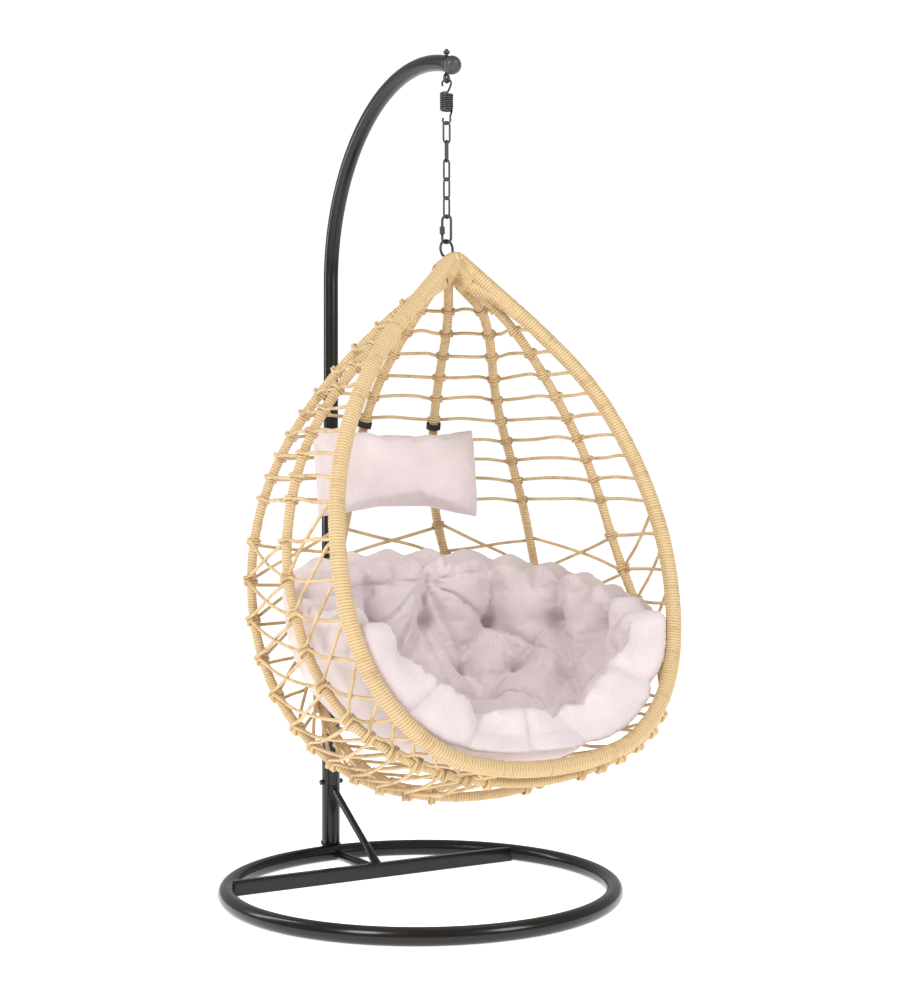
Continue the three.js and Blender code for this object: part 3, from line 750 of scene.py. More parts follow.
class MakeStand(bpy.types.Operator):
    """Base ring, crossbar, connector, brace, post, arm, end cap and the post's bolt"""

    bl_idname = "chair.make_stand"
    bl_label = "Stand"

    def execute(self, context):
        steel = material_of("powder_coated_steel")
        weld = context.scene.chair_stand.weld_size

        low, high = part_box("base_ring")
        tube_radius = (high.z - low.z) / 2
        ring_radius = (high.x - low.x) / 2 - tube_radius
        ring_y = (low.y + high.y) / 2
        angles = np.arange(200) * 2 * math.pi / 200
        circle = np.c_[
            ring_radius * np.cos(angles),
            ring_y + ring_radius * np.sin(angles),
            np.full(200, tube_radius),
        ]
        ring = tube("base_ring_tube", circle, tube_radius, steel, sides=36, closed=True)
        finish_piece(ring, "stand", "black_steel", "base_ring")

        low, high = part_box("base_crossbar")
        bar = bevelled_block("crossbar_tube", low, high, 3.5 * MM, steel)
        finish_piece(bar, "stand", "black_steel", "base_crossbar")
        bar_y, bar_top = (low.y + high.y) / 2, high.z

        low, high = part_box("base_connector")
        radius = (high.x - low.x) / 2
        level = (low.z + high.z) / 2
        back, front = Vector((0, low.y, level)), Vector((0, high.y + 4 * MM, level))
        path, radii = capped([back, back.lerp(front, 0.5), front], radius, MM)
        connector = tube("connector_tube", path, radii, steel, sides=28)
        finish_piece(connector, "stand", "black_steel", "base_connector")

        low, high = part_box("lower_post")
        post_y, post_radius = (low.y + high.y) / 2, (high.y - low.y) / 2
        path, radii = capped(
            [(0, post_y, low.z), (0, post_y, 0.5), (0, post_y, high.z)], post_radius, 2.5 * MM
        )
        post = tube("lower_post_tube", path, radii, steel, sides=48)
        finish_piece(post, "stand", "black_steel", "lower_post")
        post_top = high.z

        low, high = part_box("post_brace")
        radius = (high.x - low.x) / 2
        foot = Vector((0, bar_y + 3 * MM, bar_top - 4 * MM))
        head = Vector((0, post_y - post_radius + 6 * MM, high.z - radius * 1.4))
        steps = np.linspace(0, 1, 40)
        path = [foot.lerp(head, t) for t in steps]
        # The foot is pressed flat and wide where it sits on the crossbar.
        pressed = np.clip(1 - steps / 0.28, 0, 1) ** 1.5
        wide, thin = 1 + 0.55 * pressed, 1 - 0.45 * pressed
        brace = tube("brace_tube", path, radius * wide, steel, sides=28, flat=thin / wide)
        finish_piece(brace, "stand", "black_steel", "post_brace")

        low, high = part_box("upper_arm")
        # The plain tube has twelve flat sides, so its box is narrower than a round tube's.
        arm_radius = high.x / math.cos(0.26) * 0.985
        straight = [(0, post_y, z) for z in np.linspace(low.z, ARM_BEND_Z, 8)]
        bend = [
            (0, post_y - ARM_BEND_RADIUS * (1 - math.cos(a)),
             ARM_BEND_Z + ARM_BEND_RADIUS * math.sin(a))
            for a in np.linspace(0, ARM_BEND_ANGLE, 72)[1:]
        ]
        arm = tube("arm_tube", straight + bend, arm_radius, steel, sides=44)
        finish_piece(arm, "stand", "black_steel", "upper_arm")

        # Each bead's name, middle, direction, radius and thickness.
        beads = [
            weld_bead(*bead, steel)
            for bead in (
                ("post_lip", (0, post_y, post_top - MM), (0, 0, 1), post_radius - 2 * MM, 3 * MM),
                ("weld_a", (0, post_y, 2 * tube_radius), (0, -0.35, 1), post_radius, weld),
                ("weld_b", foot.lerp(head, 0.985), head - foot, radius + MM, weld),
                ("weld_c", (0, bar_y + 11 * MM, level), (0, 1, 0), 13 * MM, weld),
            )
        ]
        seams = joined("stand_welds", beads)
        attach(seams, "stand")

        middle = Vector(bend[-1])
        outward = (middle - Vector(bend[-2])).normalized()
        ball = 0.0215
        # The ball's outline, from its widest place to its tip: across and along, as shares of it.
        profile = ((1.0, 0.0), (0.97, 0.3), (0.86, 0.6), (0.66, 0.84), (0.38, 0.97), (0.12, 1.0))
        path = [middle + outward * (3 * MM + ball * 0.95 * along) for _, along in profile]
        radii = [ball * across for across, _ in profile]
        fine = np.arange((len(radii) - 1) * 4 + 1) / 4
        radii = np.interp(fine, np.arange(len(radii)), radii)
        plastic = material_of("moulded_plastic")
        cap = tube("end_cap_ball", smooth_path(path, 4), radii, plastic, sides=40)
        finish_piece(cap, "stand", "black_plastic", "arm_end_cap")

        plated = material_of("plated_steel")
        low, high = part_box("post_bolt")
        z, y = (low.z + high.z) / 2, (low.y + high.y) / 2
        across = (high.z - low.z) * 0.97
        head_piece = hexagon("bolt_head", (low.x + 6.5 * MM, y, z), (low.x, y, z), across, plated)
        path, radii = capped([(low.x + 6 * MM, y, z), (0, y, z), (high.x, y, z)], 4 * MM, 0.8 * MM)
        shank = tube("bolt_shank", path, radii, plated, sides=20)
        bolt = joined("post_through_bolt", [head_piece, shank])
        finish_piece(bolt, "stand", "grey_steel", "post_bolt")
        low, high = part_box("post_bolt_nut")
        nut = hexagon("post_nut", (low.x, y, z), (high.x, y, z), across, plated)
        finish_piece(nut, "stand", "grey_steel", "post_bolt_nut")
        return {"FINISHED"}


# ---- Spring and chain ---------------------------------------------------------------
def heading(degrees):
    return Vector((math.cos(math.radians(degrees)), math.sin(math.radians(degrees)), 0))


def loop_path(middle, radius, straight, turn, steps=20, gap=None):
    """A loop standing on edge: two bows and two straight sides. `gap` opens one side."""
    side = heading(turn)
    points = []
    for bow in (1, -1):
        for angle in np.linspace(0, math.pi, steps):
            across = math.cos(angle) * bow
            height = bow * (straight / 2 + radius * math.sin(angle))
            points.append(Vector(middle) + side * across * radius + Vector((0, 0, height)))
    if gap is None:
        return points
    start, end = (Vector(middle) - side * radius + Vector((0, 0, height)) for height in gap)
    return [start] + points[steps:] + points[:steps] + [end]


def at(z):
    """A point of the hang line."""
    return Vector((HANG.x, HANG.y, z))


class MakeSuspension(bpy.types.Operator):
    """Eye bolt, spring, chain links, quick link and the ring that the basket hangs on"""

    bl_idname = "chair.make_suspension"
    bl_label = "Spring and chain"

    # How far each loop is turned about the hang line, in degrees.
    EYE_TURN = 20
    LINK_TURNS = (5, 75, 15, -75, 15)
    QUICK_TURN = -55
    RING_TURN = 15
    HOOK_TURNS = (-50, -65)
    LINK_RADIUS = 8.75 * MM
    HOOK_RADIUS = 0.011
    SPRING_RADIUS = 0.0134
    SPRING_TURNS = 8
    SPRING_PITCH = 0.0054
    HOOK_REACH = 0.030
    HOOK_LIFT = 0.7 * MM  # the hook stands a little clear of the eye, so that it can roll over it

    def execute(self, context):
        plated = material_of("plated_steel")
        _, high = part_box("eye_bolt")
        wire, radius, straight = 0.007, 0.007, 0.003
        path = loop_path(at(HANG.z + radius + straight / 2), radius, straight, self.EYE_TURN)
        eye = tube("eye", path, wire / 2, plated, sides=20, closed=True)
        shank_low = HANG.z + straight + 2 * radius
        path, radii = capped([at(shank_low), at(shank_low + 0.02), at(high.z)], 4 * MM, 0.8 * MM)
        shank = tube("eye_shank", path, radii, plated, sides=20)
        finish_piece(joined("eye_bolt_forging", [eye, shank]), "stand", "grey_steel", "eye_bolt")
        low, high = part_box("eye_bolt_nut")
        nut = hexagon("eye_nut", at(low.z), at(high.z), 0.013, plated)
        finish_piece(nut, "stand", "grey_steel", "eye_bolt_nut")

        self.make_spring(plated, context.scene.chair_chain.spring_wire)

        wire = context.scene.chair_chain.wire
        for i, turn in enumerate(self.LINK_TURNS):
            node = f"chain_link_{i + 1}"
            low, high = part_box(node)
            radius = self.LINK_RADIUS
            straight = high.z - low.z - wire - 2 * radius
            path = loop_path(at((low.z + high.z) / 2), radius, straight, turn)
            link = tube(f"link_{i + 1}", path, wire / 2, plated, sides=16, closed=True)
            finish_piece(link, f"link_{i + 1}", "grey_steel", node)

        low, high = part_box("quick_link")
        wire, radius = 6 * MM, 11 * MM
        middle = at((low.z + high.z) / 2)
        straight = high.z - low.z - wire - 2 * radius
        path = loop_path(middle, radius, straight, self.QUICK_TURN, gap=(-6 * MM, 0))
        quick = tube("quick_link_bar", path, wire / 2, plated, sides=18)
        finish_piece(quick, "quick_link_body", "grey_steel", "quick_link")
        low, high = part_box("quick_link_nut")
        side = middle - heading(self.QUICK_TURN) * radius
        ends = [(side.x, side.y, z) for z in (low.z, high.z)]
        sleeve = hexagon("quick_link_sleeve", *ends, 0.011, plated)
        finish_piece(sleeve, "sleeve", "grey_steel", "quick_link_nut")

        low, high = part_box("basket_ring")
        wire = 6 * MM
        radius = (high.z - low.z - wire) / 2
        path = loop_path(at((low.z + high.z) / 2), radius, 1e-5, self.RING_TURN, 32)
        ring = tube("hanging_ring", path, wire / 2, plated, sides=18, closed=True)
        finish_piece(ring, "basket", "grey_steel", "basket_ring")
        return {"FINISHED"}

    def make_spring(self, plated, wire):
        """A close coil with an open hook at each end."""
        coil_top = HANG.z + 0.0062 - self.HOOK_REACH
        hook_top = coil_top + self.HOOK_REACH + self.HOOK_LIFT
        coil_bottom = coil_top - self.SPRING_TURNS * self.SPRING_PITCH
        hook_bottom = coil_bottom - self.HOOK_REACH

        def hook(turn, tip, towards):
            points = []
            for degrees in (205, 165, 128, 90, 52, 15, -25):
                angle = math.radians(degrees)
                z = tip - towards * self.HOOK_RADIUS * (1 - math.sin(angle))
                points.append(at(z) + heading(turn) * self.HOOK_RADIUS * math.cos(angle))
            return points

        path = hook(self.HOOK_TURNS[0], hook_top, 1)
        start, end = self.HOOK_TURNS[0] - 60, self.HOOK_TURNS[1] - 300
        count = self.SPRING_TURNS * 16
        for i in range(count + 1):
            share = i / count
            turn = start + share * (end - start - 360 * (self.SPRING_TURNS - 1))
            z = coil_top - wire / 2 - share * (self.SPRING_TURNS * self.SPRING_PITCH - wire)
            path.append(at(z) + heading(turn) * self.SPRING_RADIUS)
        path += hook(self.HOOK_TURNS[1], hook_bottom, -1)[::-1]
        spring = tube("coil_spring", smooth_path(path, 4), wire / 2, plated, sides=14)
        finish_piece(spring, None, "grey_steel", "spring")
        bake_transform(spring)


# ---- Hoops --------------------------------------------------------------------------
class Hoop:
    """A hoop's centre line, read from its steel tube in the frame, from top left to top right."""

    def __init__(self, node, radius):
        self.radius = radius
        data = NODES[node].data
        spots = np.array([v.co for v in data.vertices], float)
        spots = np.unique(np.round(spots, 5), axis=0)
        near_zero = 3 * MM
        left = spots[spots[:, 0] < -near_zero]
        ring_size = 30 * MM  # a ring of the swept tube is smaller, and the next is further off
        here = left[left[:, 2].argmax()]
        centres = []
        while len(left):
            seed = left[np.linalg.norm(left - here, axis=1).argmin()]
            inside = np.linalg.norm(left - seed, axis=1) < ring_size
            here = left[inside].mean(0)
            centres.append(here)
            left = left[~inside]
        low = spots[np.abs(spots[:, 0]) <= near_zero]
        centres.append(np.array([0.0, low[:, 1].mean(), low[:, 2].mean()]))
        mirrored = [p * (-1, 1, 1) for p in centres[-2::-1]]
        self.line = smooth_path(centres + mirrored, 12)
        steps = np.linalg.norm(np.diff(self.line, axis=0), axis=1)
        self.gone = np.r_[0, np.cumsum(steps)]
        self.length = self.gone[-1]

    def at(self, share):
        """The point at a share of the hoop's length."""
        where = share * self.length
        return Vector([np.interp(where, self.gone, self.line[:, k]) for k in range(3)])

    def along(self, share):
        return (self.at(min(1, share + 0.004)) - self.at(max(0, share - 0.004))).normalized()

    def outward(self, share):
        """Straight out of the basket, square to the hoop."""
        along = self.along(share)
        out = self.at(share) - BASKET_MIDDLE
        return (out - along * out.dot(along)).normalized()

    def share_at_height(self, z):
        low, high = 0.0, 0.45
        for _ in range(30):
            middle = (low + high) / 2
            if self.at(middle).z > z:
                low = middle
            else:
                high = middle
        return low


HOOPS = {}


class MakeHoops(bpy.types.Operator):
    """The rim and the three ribs, wound with rattan strip from the top knot all the way round"""

    bl_idname = "chair.make_hoops"
    bl_label = "Wound hoops"

    def execute(self, context):
        settings = context.scene.chair_rattan
        tree = winding_tree()
        for i, name in enumerate(("rim", "side_rib", "middle_rib", "back_rib")):
            radius = settings.rim_radius if name == "rim" else settings.rib_radius
            hoop = HOOPS[name] = Hoop(f"{name}_frame", radius)
            source = curve_object(f"{name}_line", [hoop.line])
            made = made_by_tree(
                f"{name}_winding", source, tree,
                {"Radius": radius, "Turn": settings.turn, "Groove": settings.groove,
                 "Step": settings.turn / 5, "Sides": 22 if name == "rim" else 16,
                 "Offset": 0.37 * i},
            )
            finish_piece(made, "basket", "rattan", f"{name}_wrap", f"{name}_frame")
        return {"FINISHED"}


# ---- Weave --------------------------------------------------------------------------
BAND_COUNT = 10
BAND_TOP = 1.3726
BAND_SPACING = 0.049
LATTICE_FIRST = 0.445
LATTICE_STEP = 0.055
LATTICE_SIDE_ROWS = 5
LATTICE_LOW_STEP = 0.035
LATTICE_ROWS = 11
KNOT_SPREAD = 0.007
ROUND_THE_BASKET = [("rim", 1), ("side_rib", 1), ("middle_rib", 1), ("back_rib", 1),
                    ("back_rib", -1), ("middle_rib", -1), ("side_rib", -1), ("rim", -1)]


def lattice_share(row):
    side = min(row, LATTICE_SIDE_ROWS)
    return LATTICE_FIRST + side * LATTICE_STEP + (row - side) * LATTICE_LOW_STEP


class MakeWeave(bpy.types.Operator):
    """Bands, crossing strands, and the loops that tie them round the ribs"""

    bl_idname = "chair.make_weave"
    bl_label = "Weave"

    def execute(self, context):
        self.strand = context.scene.chair_rattan.strand
        self.random = np.random.default_rng(11)
        self.loops = []
        tree = strand_tree()
        values = {"Radius": self.strand / 2, "Step": 0.006, "Sides": 10}

        for i in range(BAND_COUNT):
            height = BAND_TOP - i * BAND_SPACING
            shares = [HOOPS[name].share_at_height(height) for name, _ in ROUND_THE_BASKET]
            path = self.strand_path(shares, height_noise=0.0035)
            source = curve_object(f"band_line_{i + 1}", [path])
            band = made_by_tree(f"woven_band_{i + 1}", source, tree, values)
            finish_piece(band, "basket", "rattan", f"band_{i + 1}")
            self.tie(shares)

        for row in range(LATTICE_ROWS):
            paths = []
            for phase in (0, 1):
                shares = []
                for i, (name, _) in enumerate(ROUND_THE_BASKET):
                    lower = (i + phase) % 2
                    spread = KNOT_SPREAD / (HOOPS[name].length / 2)
                    shares.append((lattice_share(row + lower) + (-spread if lower else spread)) / 2)
                paths.append(self.strand_path(shares, height_noise=0.002, ride=phase * 0.5))
            source = curve_object(f"lattice_line_{row + 1}", paths)
            made = made_by_tree(f"woven_lattice_{row + 1}", source, tree, values)
            finish_piece(made, "basket", "rattan", f"lattice_{row + 1}")
            self.tie([lattice_share(row + (i % 2)) / 2 for i in range(len(ROUND_THE_BASKET))])
            if row == LATTICE_ROWS - 1:
                ends = [row + 1 - i % 2 for i in range(len(ROUND_THE_BASKET))]
                self.tie([lattice_share(end) / 2 for end in ends])

        self.make_loops()
        return {"FINISHED"}

    def strand_path(self, shares, height_noise, ride=0.0):
        """Straight between the ribs, and bent over the outside of each one."""
        crossings = []
        for (name, side), share in zip(ROUND_THE_BASKET, shares):
            hoop = HOOPS[name]
            u = share if side > 0 else 1 - share
            crossings.append((hoop, hoop.at(u), hoop.outward(u), hoop.along(u)))
        points = []
        last = len(crossings) - 1
        for i, (hoop, middle, out, along) in enumerate(crossings):
            across = along.cross(out)
            if i < last and across.dot(crossings[i + 1][1] - middle) < 0:
                across = -across
            if i == last and across.dot(middle - crossings[i - 1][1]) < 0:
                across = -across
            beside = across * (hoop.radius + self.strand * 0.55)
            reach = hoop.radius + self.strand * (0.42 + ride * 0.5)
            if 0 < i < last:
                points += [
                    middle - beside + out * hoop.radius * 0.15,
                    middle - beside * 0.72 + out * reach * 0.74,
                    middle + out * reach,
                    middle + beside * 0.72 + out * reach * 0.74,
                    middle + beside + out * hoop.radius * 0.15,
                ]
            else:
                # The strand begins and ends inside the rim's winding.
                for step in (0.4, 1) if i == 0 else (-1, -0.4):
                    points.append(middle + beside * step + out * hoop.radius * 0.3)
            if i < last:
                following = crossings[i + 1][1]
                for t in (0.33, 0.67):
                    between = (middle + beside).lerp(following, t)
                    bulge = (between - BASKET_MIDDLE).normalized()
                    bulge *= (following - middle).length * 0.03
                    wander = Vector((0, 0, self.random.uniform(-height_noise, height_noise)))
                    points.append(between + bulge + wander)
        return smooth_path(points, 6)

    def tie(self, shares):
        """Notes where a loop goes round each rib. The rim's strands end inside its winding."""
        for (name, side), share in zip(ROUND_THE_BASKET, shares):
            hoop = HOOPS[name]
            u = share if side > 0 else 1 - share
            along, out = hoop.along(u), hoop.outward(u)
            turn = Matrix((out, along.cross(out), along)).transposed().to_quaternion()
            tilt = self.random.uniform(-0.16, 0.16)
            turn = turn @ Matrix.Rotation(tilt, 3, "X").to_quaternion()
            if name != "rim":
                self.loops.append((hoop.at(u), tuple(turn), (1, 1, 1)))

    def make_loops(self):
        tree = scatter_tree("Tied loops", material_of("extruded_rattan"))
        radius = HOOPS["side_rib"].radius
        thick = self.strand * 0.66
        turns, first = 2.1, -0.3
        path = []
        # A little over two turns round the rib, lifted on the outside where it crosses the strand.
        for t in np.linspace(0, 1, 56):
            angle = 2 * math.pi * (first + turns * t)
            lift = max(0.0, math.cos(angle)) ** 6 * thick * 0.5
            reach = radius + thick * 0.36 + lift
            path.append((math.cos(angle) * reach, math.sin(angle) * reach, (t - 0.5) * thick * 2.3))
        shape = tube("loop_shape", path, thick / 2, material_of("extruded_rattan"), sides=8)
        made = scattered("rib_knots", tree, shape, self.loops)
        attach(made, "basket")


# ---- Top binding --------------------------------------------------------------------
class MakeBinding(bpy.types.Operator):
    """The rim's winding carried over the top, the ribs bound in under it, and the ring's lashing"""

    bl_idname = "chair.make_binding"
    bl_label = "Top binding"

    def execute(self, context):
        rattan = material_of("extruded_rattan")
        settings = context.scene.chair_rattan
        _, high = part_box("apex_binding")
        rim = HOOPS["rim"]
        top = Vector((0, rim.at(0).y - 0.002, high.z - settings.rim_radius - 2 * MM))

        # Both sides of the rim run on and meet in a pointed arch.
        start = rim.at(0.045)
        lift = Vector((-0.016, top.y, top.z - 7 * MM))
        arch = [start, start.lerp(lift, 0.35), start.lerp(lift, 0.7), lift, top]
        arch += [Vector((-p.x, p.y, p.z)) for p in arch[-2::-1]]
        source = curve_object("top_arch_line", [smooth_path(arch, 10)])
        pieces = [
            made_by_tree(
                "top_arch", source, winding_tree(),
                {"Radius": settings.rim_radius * 1.05, "Turn": settings.turn,
                 "Groove": settings.groove, "Step": settings.turn / 5, "Sides": 22,
                 "Offset": 0.2},
            )
        ]
        # The ribs' tops, bundled under the arch.
        gather = Vector((0, top.y + 0.024, top.z - 0.020))
        for name in ("side_rib", "middle_rib", "back_rib"):
            hoop = HOOPS[name]
            for share in (0.0, 1.0):
                end = hoop.at(share)
                path = [hoop.at(abs(share - 0.012)), end, end.lerp(gather, 0.5), gather]
                path = smooth_path(path, 6)
                pieces.append(tube("rib_top", path, settings.rib_radius * 0.95, rattan, sides=14))
        self.lash(pieces, top, gather, settings, rattan)
        binding = joined("top_binding", pieces)
        finish_piece(binding, "basket", "rattan", "apex_binding")
        return {"FINISHED"}

    @staticmethod
    def lash(pieces, top, gather, settings, material):
        """Strips that go over the arch and round the ribs behind it."""
        random = np.random.default_rng(5)
        strip = settings.strand * 0.55
        middle = top.lerp(gather, 0.42) - Vector((0, 0, 0.004))
        strips, belts = 17, 5
        for i in range(strips):
            share = (i + 0.5) / strips * 2 - 1
            lean = share * math.radians(56) + random.uniform(-0.04, 0.04)
            points = []
            for angle in np.arange(36) * 2 * math.pi / 36:
                across, up = math.sin(angle), math.cos(angle)
                reach = Vector((0, 0.030 * across, 0.027 * up))
                sideways = share * 0.034 + up * math.sin(lean) * 0.014
                shift = Vector((sideways, 0, -abs(share) ** 1.2 * 0.028))
                points.append(middle + reach + shift)
            pieces.append(tube("lashing", points, strip, material, sides=8, closed=True, flat=0.5))
        for i in range(belts):
            lean = random.uniform(-0.25, 0.25)
            points = []
            for angle in np.arange(36) * 2 * math.pi / 36:
                x, y = math.cos(angle), math.sin(angle)
                z = -0.020 + i * 0.0065 + lean * x * 0.03
                points.append(gather + Vector((x * 0.036, y * 0.026 - 0.006, z)))
            pieces.append(tube("belt", points, strip, material, sides=8, closed=True, flat=0.5))


# ---- Cushion ------------------------------------------------------------------------
# Tufts by rows: how far under the hollow's middle, and the turns from the back, in degrees.
TUFT_ROWS = (
    (14, (0, 29, 59, 93, 127)),
    (38, (14.5, 43, 79, 118)),
    (62, (26, 88, 150)),
)
# Creases over the upper edge: the tufts' own turns are creased deeper than those between them.
EDGE_TURNS = (0, 14.5, 29, 43, 59, 76, 93, 110, 127)
FRONT_TURNS = (118, 150, 180, 205, 233, 242)
EDGE_DROP, FRONT_DROP = -24, 24
CUSHION_TOP_AT_BACK = 0.806
CUSHION_TOP_SLOPE = math.tan(math.radians(15))
CUSHION_BACK = 0.123


def seat_point(turn, drop):
    """A point of the hollow: `turn` from the back towards +X, `drop` under its middle."""
    turn, drop = math.radians(turn), math.radians(drop)
    x, y = math.sin(turn), math.cos(turn)
    power = (abs(x) ** SEAT_CORNER + abs(y) ** SEAT_CORNER) ** (1 / SEAT_CORNER)
    level = math.cos(drop)
    out = level / power
    depth = math.sin(drop) * SEAT_REACH.z
    return SEAT_MIDDLE + Vector((x * out * SEAT_REACH.x, y * out * SEAT_REACH.y, -depth))


def tuft_places():
    """(turn, drop) of every tuft, on both sides."""
    places = []
    for drop, turns in TUFT_ROWS:
        for turn in turns:
            places.append((turn, drop))
            if 0 < turn < 180:
                places.append((-turn, drop))
    return places


def crease_lines():
    """Pairs of (turn, drop) that a crease joins, with how deep the crease is at each end."""
    def both(turns):
        return sorted({t for turn in turns for t in (turn, -turn)})

    lines = []
    rows = [(drop, both(turns)) for drop, turns in TUFT_ROWS]
    for (drop_a, upper), (drop_b, lower) in zip(rows, rows[1:]):
        for turn in lower:
            for other in sorted(upper, key=lambda t: abs(t - turn))[:2]:
                lines.append(((turn, drop_b), (other, drop_a), 1.0, 1.0))
    for turn in rows[0][1]:
        lines.append(((turn, rows[0][0]), (turn, EDGE_DROP), 1.0, 0.75))
    for turn in FRONT_TURNS:
        def far(place):
            return abs((place[0] - turn + 180) % 360 - 180) + abs(place[1] - 50) * 0.4

        start = min(tuft_places(), key=far)
        end = turn if abs(start[0] - turn) < 180 else turn - 360
        lines.append((start, (end, FRONT_DROP), 1.0, 0.7))
    return lines


def edge_creases():
    """Creases over the upper edge, from the hollow out to the outer seam."""
    rows = []
    tufted = TUFT_ROWS[0][1]
    for turn in EDGE_TURNS:
        for side in {turn, -turn}:
            for k in range(12):
                out = seat_point(side, 0) - SEAT_MIDDLE
                spot = SEAT_MIDDLE + out * (0.98 + 0.30 * k / 11)
                height = CUSHION_TOP_AT_BACK - (CUSHION_BACK - spot.y) * CUSHION_TOP_SLOPE
                deep = 0.95 - 0.3 * k / 11 if turn in tufted else 0.5
                rows.append((spot.x, spot.y, height, deep))
    return rows


def sampled(line, spacing=0.009):
    """Points along one crease on the hollow's wall, each with how deep the crease is there."""
    (turn_a, drop_a), (turn_b, drop_b), deep_a, deep_b = line
    start, end = seat_point(turn_a, drop_a), seat_point(turn_b, drop_b)
    count = max(3, int((end - start).length / spacing))
    rows = []
    for i in range(count + 1):
        t = i / count
        spot = seat_point(turn_a + (turn_b - turn_a) * t, drop_a + (drop_b - drop_a) * t)
        # Deepest by the tufts, shallower half way.
        depth = (deep_a * (1 - t) + deep_b * t) * (1 - 0.42 * math.sin(math.pi * t))
        rows.append((*spot, depth))
    return rows


class MakeCushion(bpy.types.Operator):
    """The deep tufted seat cushion"""

    bl_idname = "chair.make_cushion"
    bl_label = "Seat cushion"

    VOXEL = 0.0065

    def execute(self, context):
        settings = context.scene.chair_cushion
        cloth = material_of("woven_polyester")
        source = NODES["seat_cushion"]
        shell = bpy.data.objects.new("tufted_cushion", source.data.copy())
        context.scene.collection.objects.link(shell)
        for name, kind, values in (
            ("remesh", "REMESH", {"mode": "VOXEL", "voxel_size": self.VOXEL}),
            ("smooth", "SMOOTH", {"factor": 0.5, "iterations": 6}),
        ):
            modifier = shell.modifiers.new(name, kind)
            for key, value in values.items():
                setattr(modifier, key, value)
        apply_modifiers(shell)
        self.sculpt(shell, settings)
        inflate(
            shell, 24 * MM, tension_stiffness=12, compression_stiffness=12, shear_stiffness=6,
            bending_stiffness=0.6, uniform_pressure_force=3.5, vertex_group_mass="pin",
            pin_stiffness=4, shrink_min=-0.06,
        )
        self.finish(shell, cloth)
        finish_piece(shell, "basket", "cloth", "seat_cushion")
        return {"FINISHED"}

    def sculpt(self, shell, settings):
        """Presses tufts and creases into the hollow's wall, and swells the cloth between."""
        count = len(shell.data.vertices)
        spots = np.empty(count * 3)
        normals = np.empty(count * 3)
        shell.data.vertices.foreach_get("co", spots)
        shell.data.vertices.foreach_get("normal", normals)
        spots, normals = spots.reshape(-1, 3), normals.reshape(-1, 3)

        inward = SEAT_MIDDLE - Vector((0, 0, -0.04))
        towards = np.array(inward) - spots
        away = np.linalg.norm(towards, axis=1)
        facing = np.einsum("ij,ij->i", normals, towards / away[:, None])
        inner = np.clip((facing - 0.05) / 0.35, 0, 1)

        wall_creases = [row for line in crease_lines() for row in sampled(line)]
        crease = np.array(wall_creases + edge_creases())
        tufts = np.array([(*seat_point(turn, drop), 1.0) for turn, drop in tuft_places()])
        near_crease, share = nearest(spots, crease)
        near_tuft, _ = nearest(spots, tufts)
        press = settings.crease_depth * share * np.exp(-near_crease / 0.0075)
        press = np.maximum(press, settings.tuft_depth * np.exp(-((near_tuft / 0.020) ** 1.2)))
        puff = settings.puff * (1 - np.exp(-((near_crease / 0.034) ** 2)))
        # The upper edge and the front border are creased too, from the hollow to the outer seam.
        front_way = np.array((0, -math.cos(RIM_LEAN), math.sin(RIM_LEAN)))
        facing_front = np.clip((normals @ front_way - 0.35) / 0.4, 0, 1)
        facing_up = np.clip((normals[:, 2] - 0.5) / 0.3, 0, 1)
        border = np.maximum(facing_front, facing_up) * (1 - inner)
        move = (puff - press) * inner + (0.8 * puff - 0.62 * press) * border
        pleat = self.pleats(spots) * facing_front
        # The stuffed sides press out between the ribs, and the border up against the rim.
        beside = np.clip((np.abs(spots[:, 0]) - 0.20) / 0.15, 0, 1) * (1 - inner) * (1 - border)
        move = move - pleat + 0.017 * beside + 0.013 * facing_front
        # The outside is drawn in a little, so that the cloth can swell.
        move = move - 0.004 * (1 - inner)
        spots = spots + normals * move[:, None]
        # The front lip of the soft cushion is pressed lower than the plain solid's.
        forward = np.clip((-0.20 - spots[:, 1]) / 0.20, 0, 1)
        central = np.clip(1.25 - np.abs(spots[:, 0]) / 0.30, 0, 1)
        above = np.clip((spots[:, 2] - 0.40) / 0.10, 0, 1)
        spots[:, 2] -= 0.058 * forward * central * above
        shell.data.vertices.foreach_set("co", spots.ravel())
        shell.data.update()

        pins = shell.vertex_groups.new(name="pin")
        held = np.clip(np.maximum(1 - inner, np.exp(-((near_tuft / 0.012) ** 2))), 0, 1)
        by_crease = np.exp(-((near_crease / 0.006) ** 2))
        held = np.maximum(held, by_crease * np.clip(inner + border, 0, 1))
        for i, weight in enumerate(held):
            if weight > 0.02:
                pins.add([i], float(weight), "REPLACE")

    @staticmethod
    def pleats(spots):
        """Short pleats across the front border, none quite like its neighbour."""
        turn = np.arctan2(spots[:, 0], SEAT_MIDDLE.z + 0.03 - spots[:, 2])
        phase = turn * 6.2 + 0.7 * np.sin(turn * 2.3 + 1.0) + 0.35 * np.sin(turn * 7.1)
        valley = 1 - np.abs(np.sin(phase))
        return 0.017 * valley**3.5

    def finish(self, shell, material):
        modifier = shell.modifiers.new("subdivide", "SUBSURF")
        modifier.levels = modifier.render_levels = 1
        apply_modifiers(shell)
        shell.data.materials.clear()
        shell.data.materials.append(material)
        shell.data.polygons.foreach_set("material_index", [0] * len(shell.data.polygons))
        shell.data.polygons.foreach_set("use_smooth", [True] * len(shell.data.polygons))


def nearest(spots, targets):
    """Distance from each spot to its nearest target, and that target's fourth number."""
    tree = kdtree.KDTree(len(targets))
    for i, target in enumerate(targets):
        tree.insert(target[:3], i)
    tree.balance()
    far, found = np.empty(len(spots)), np.empty(len(spots))
    for i, spot in enumerate(spots):
        _, index, distance = tree.find(spot)
        far[i], found[i] = distance, targets[index][3]
    return far, found


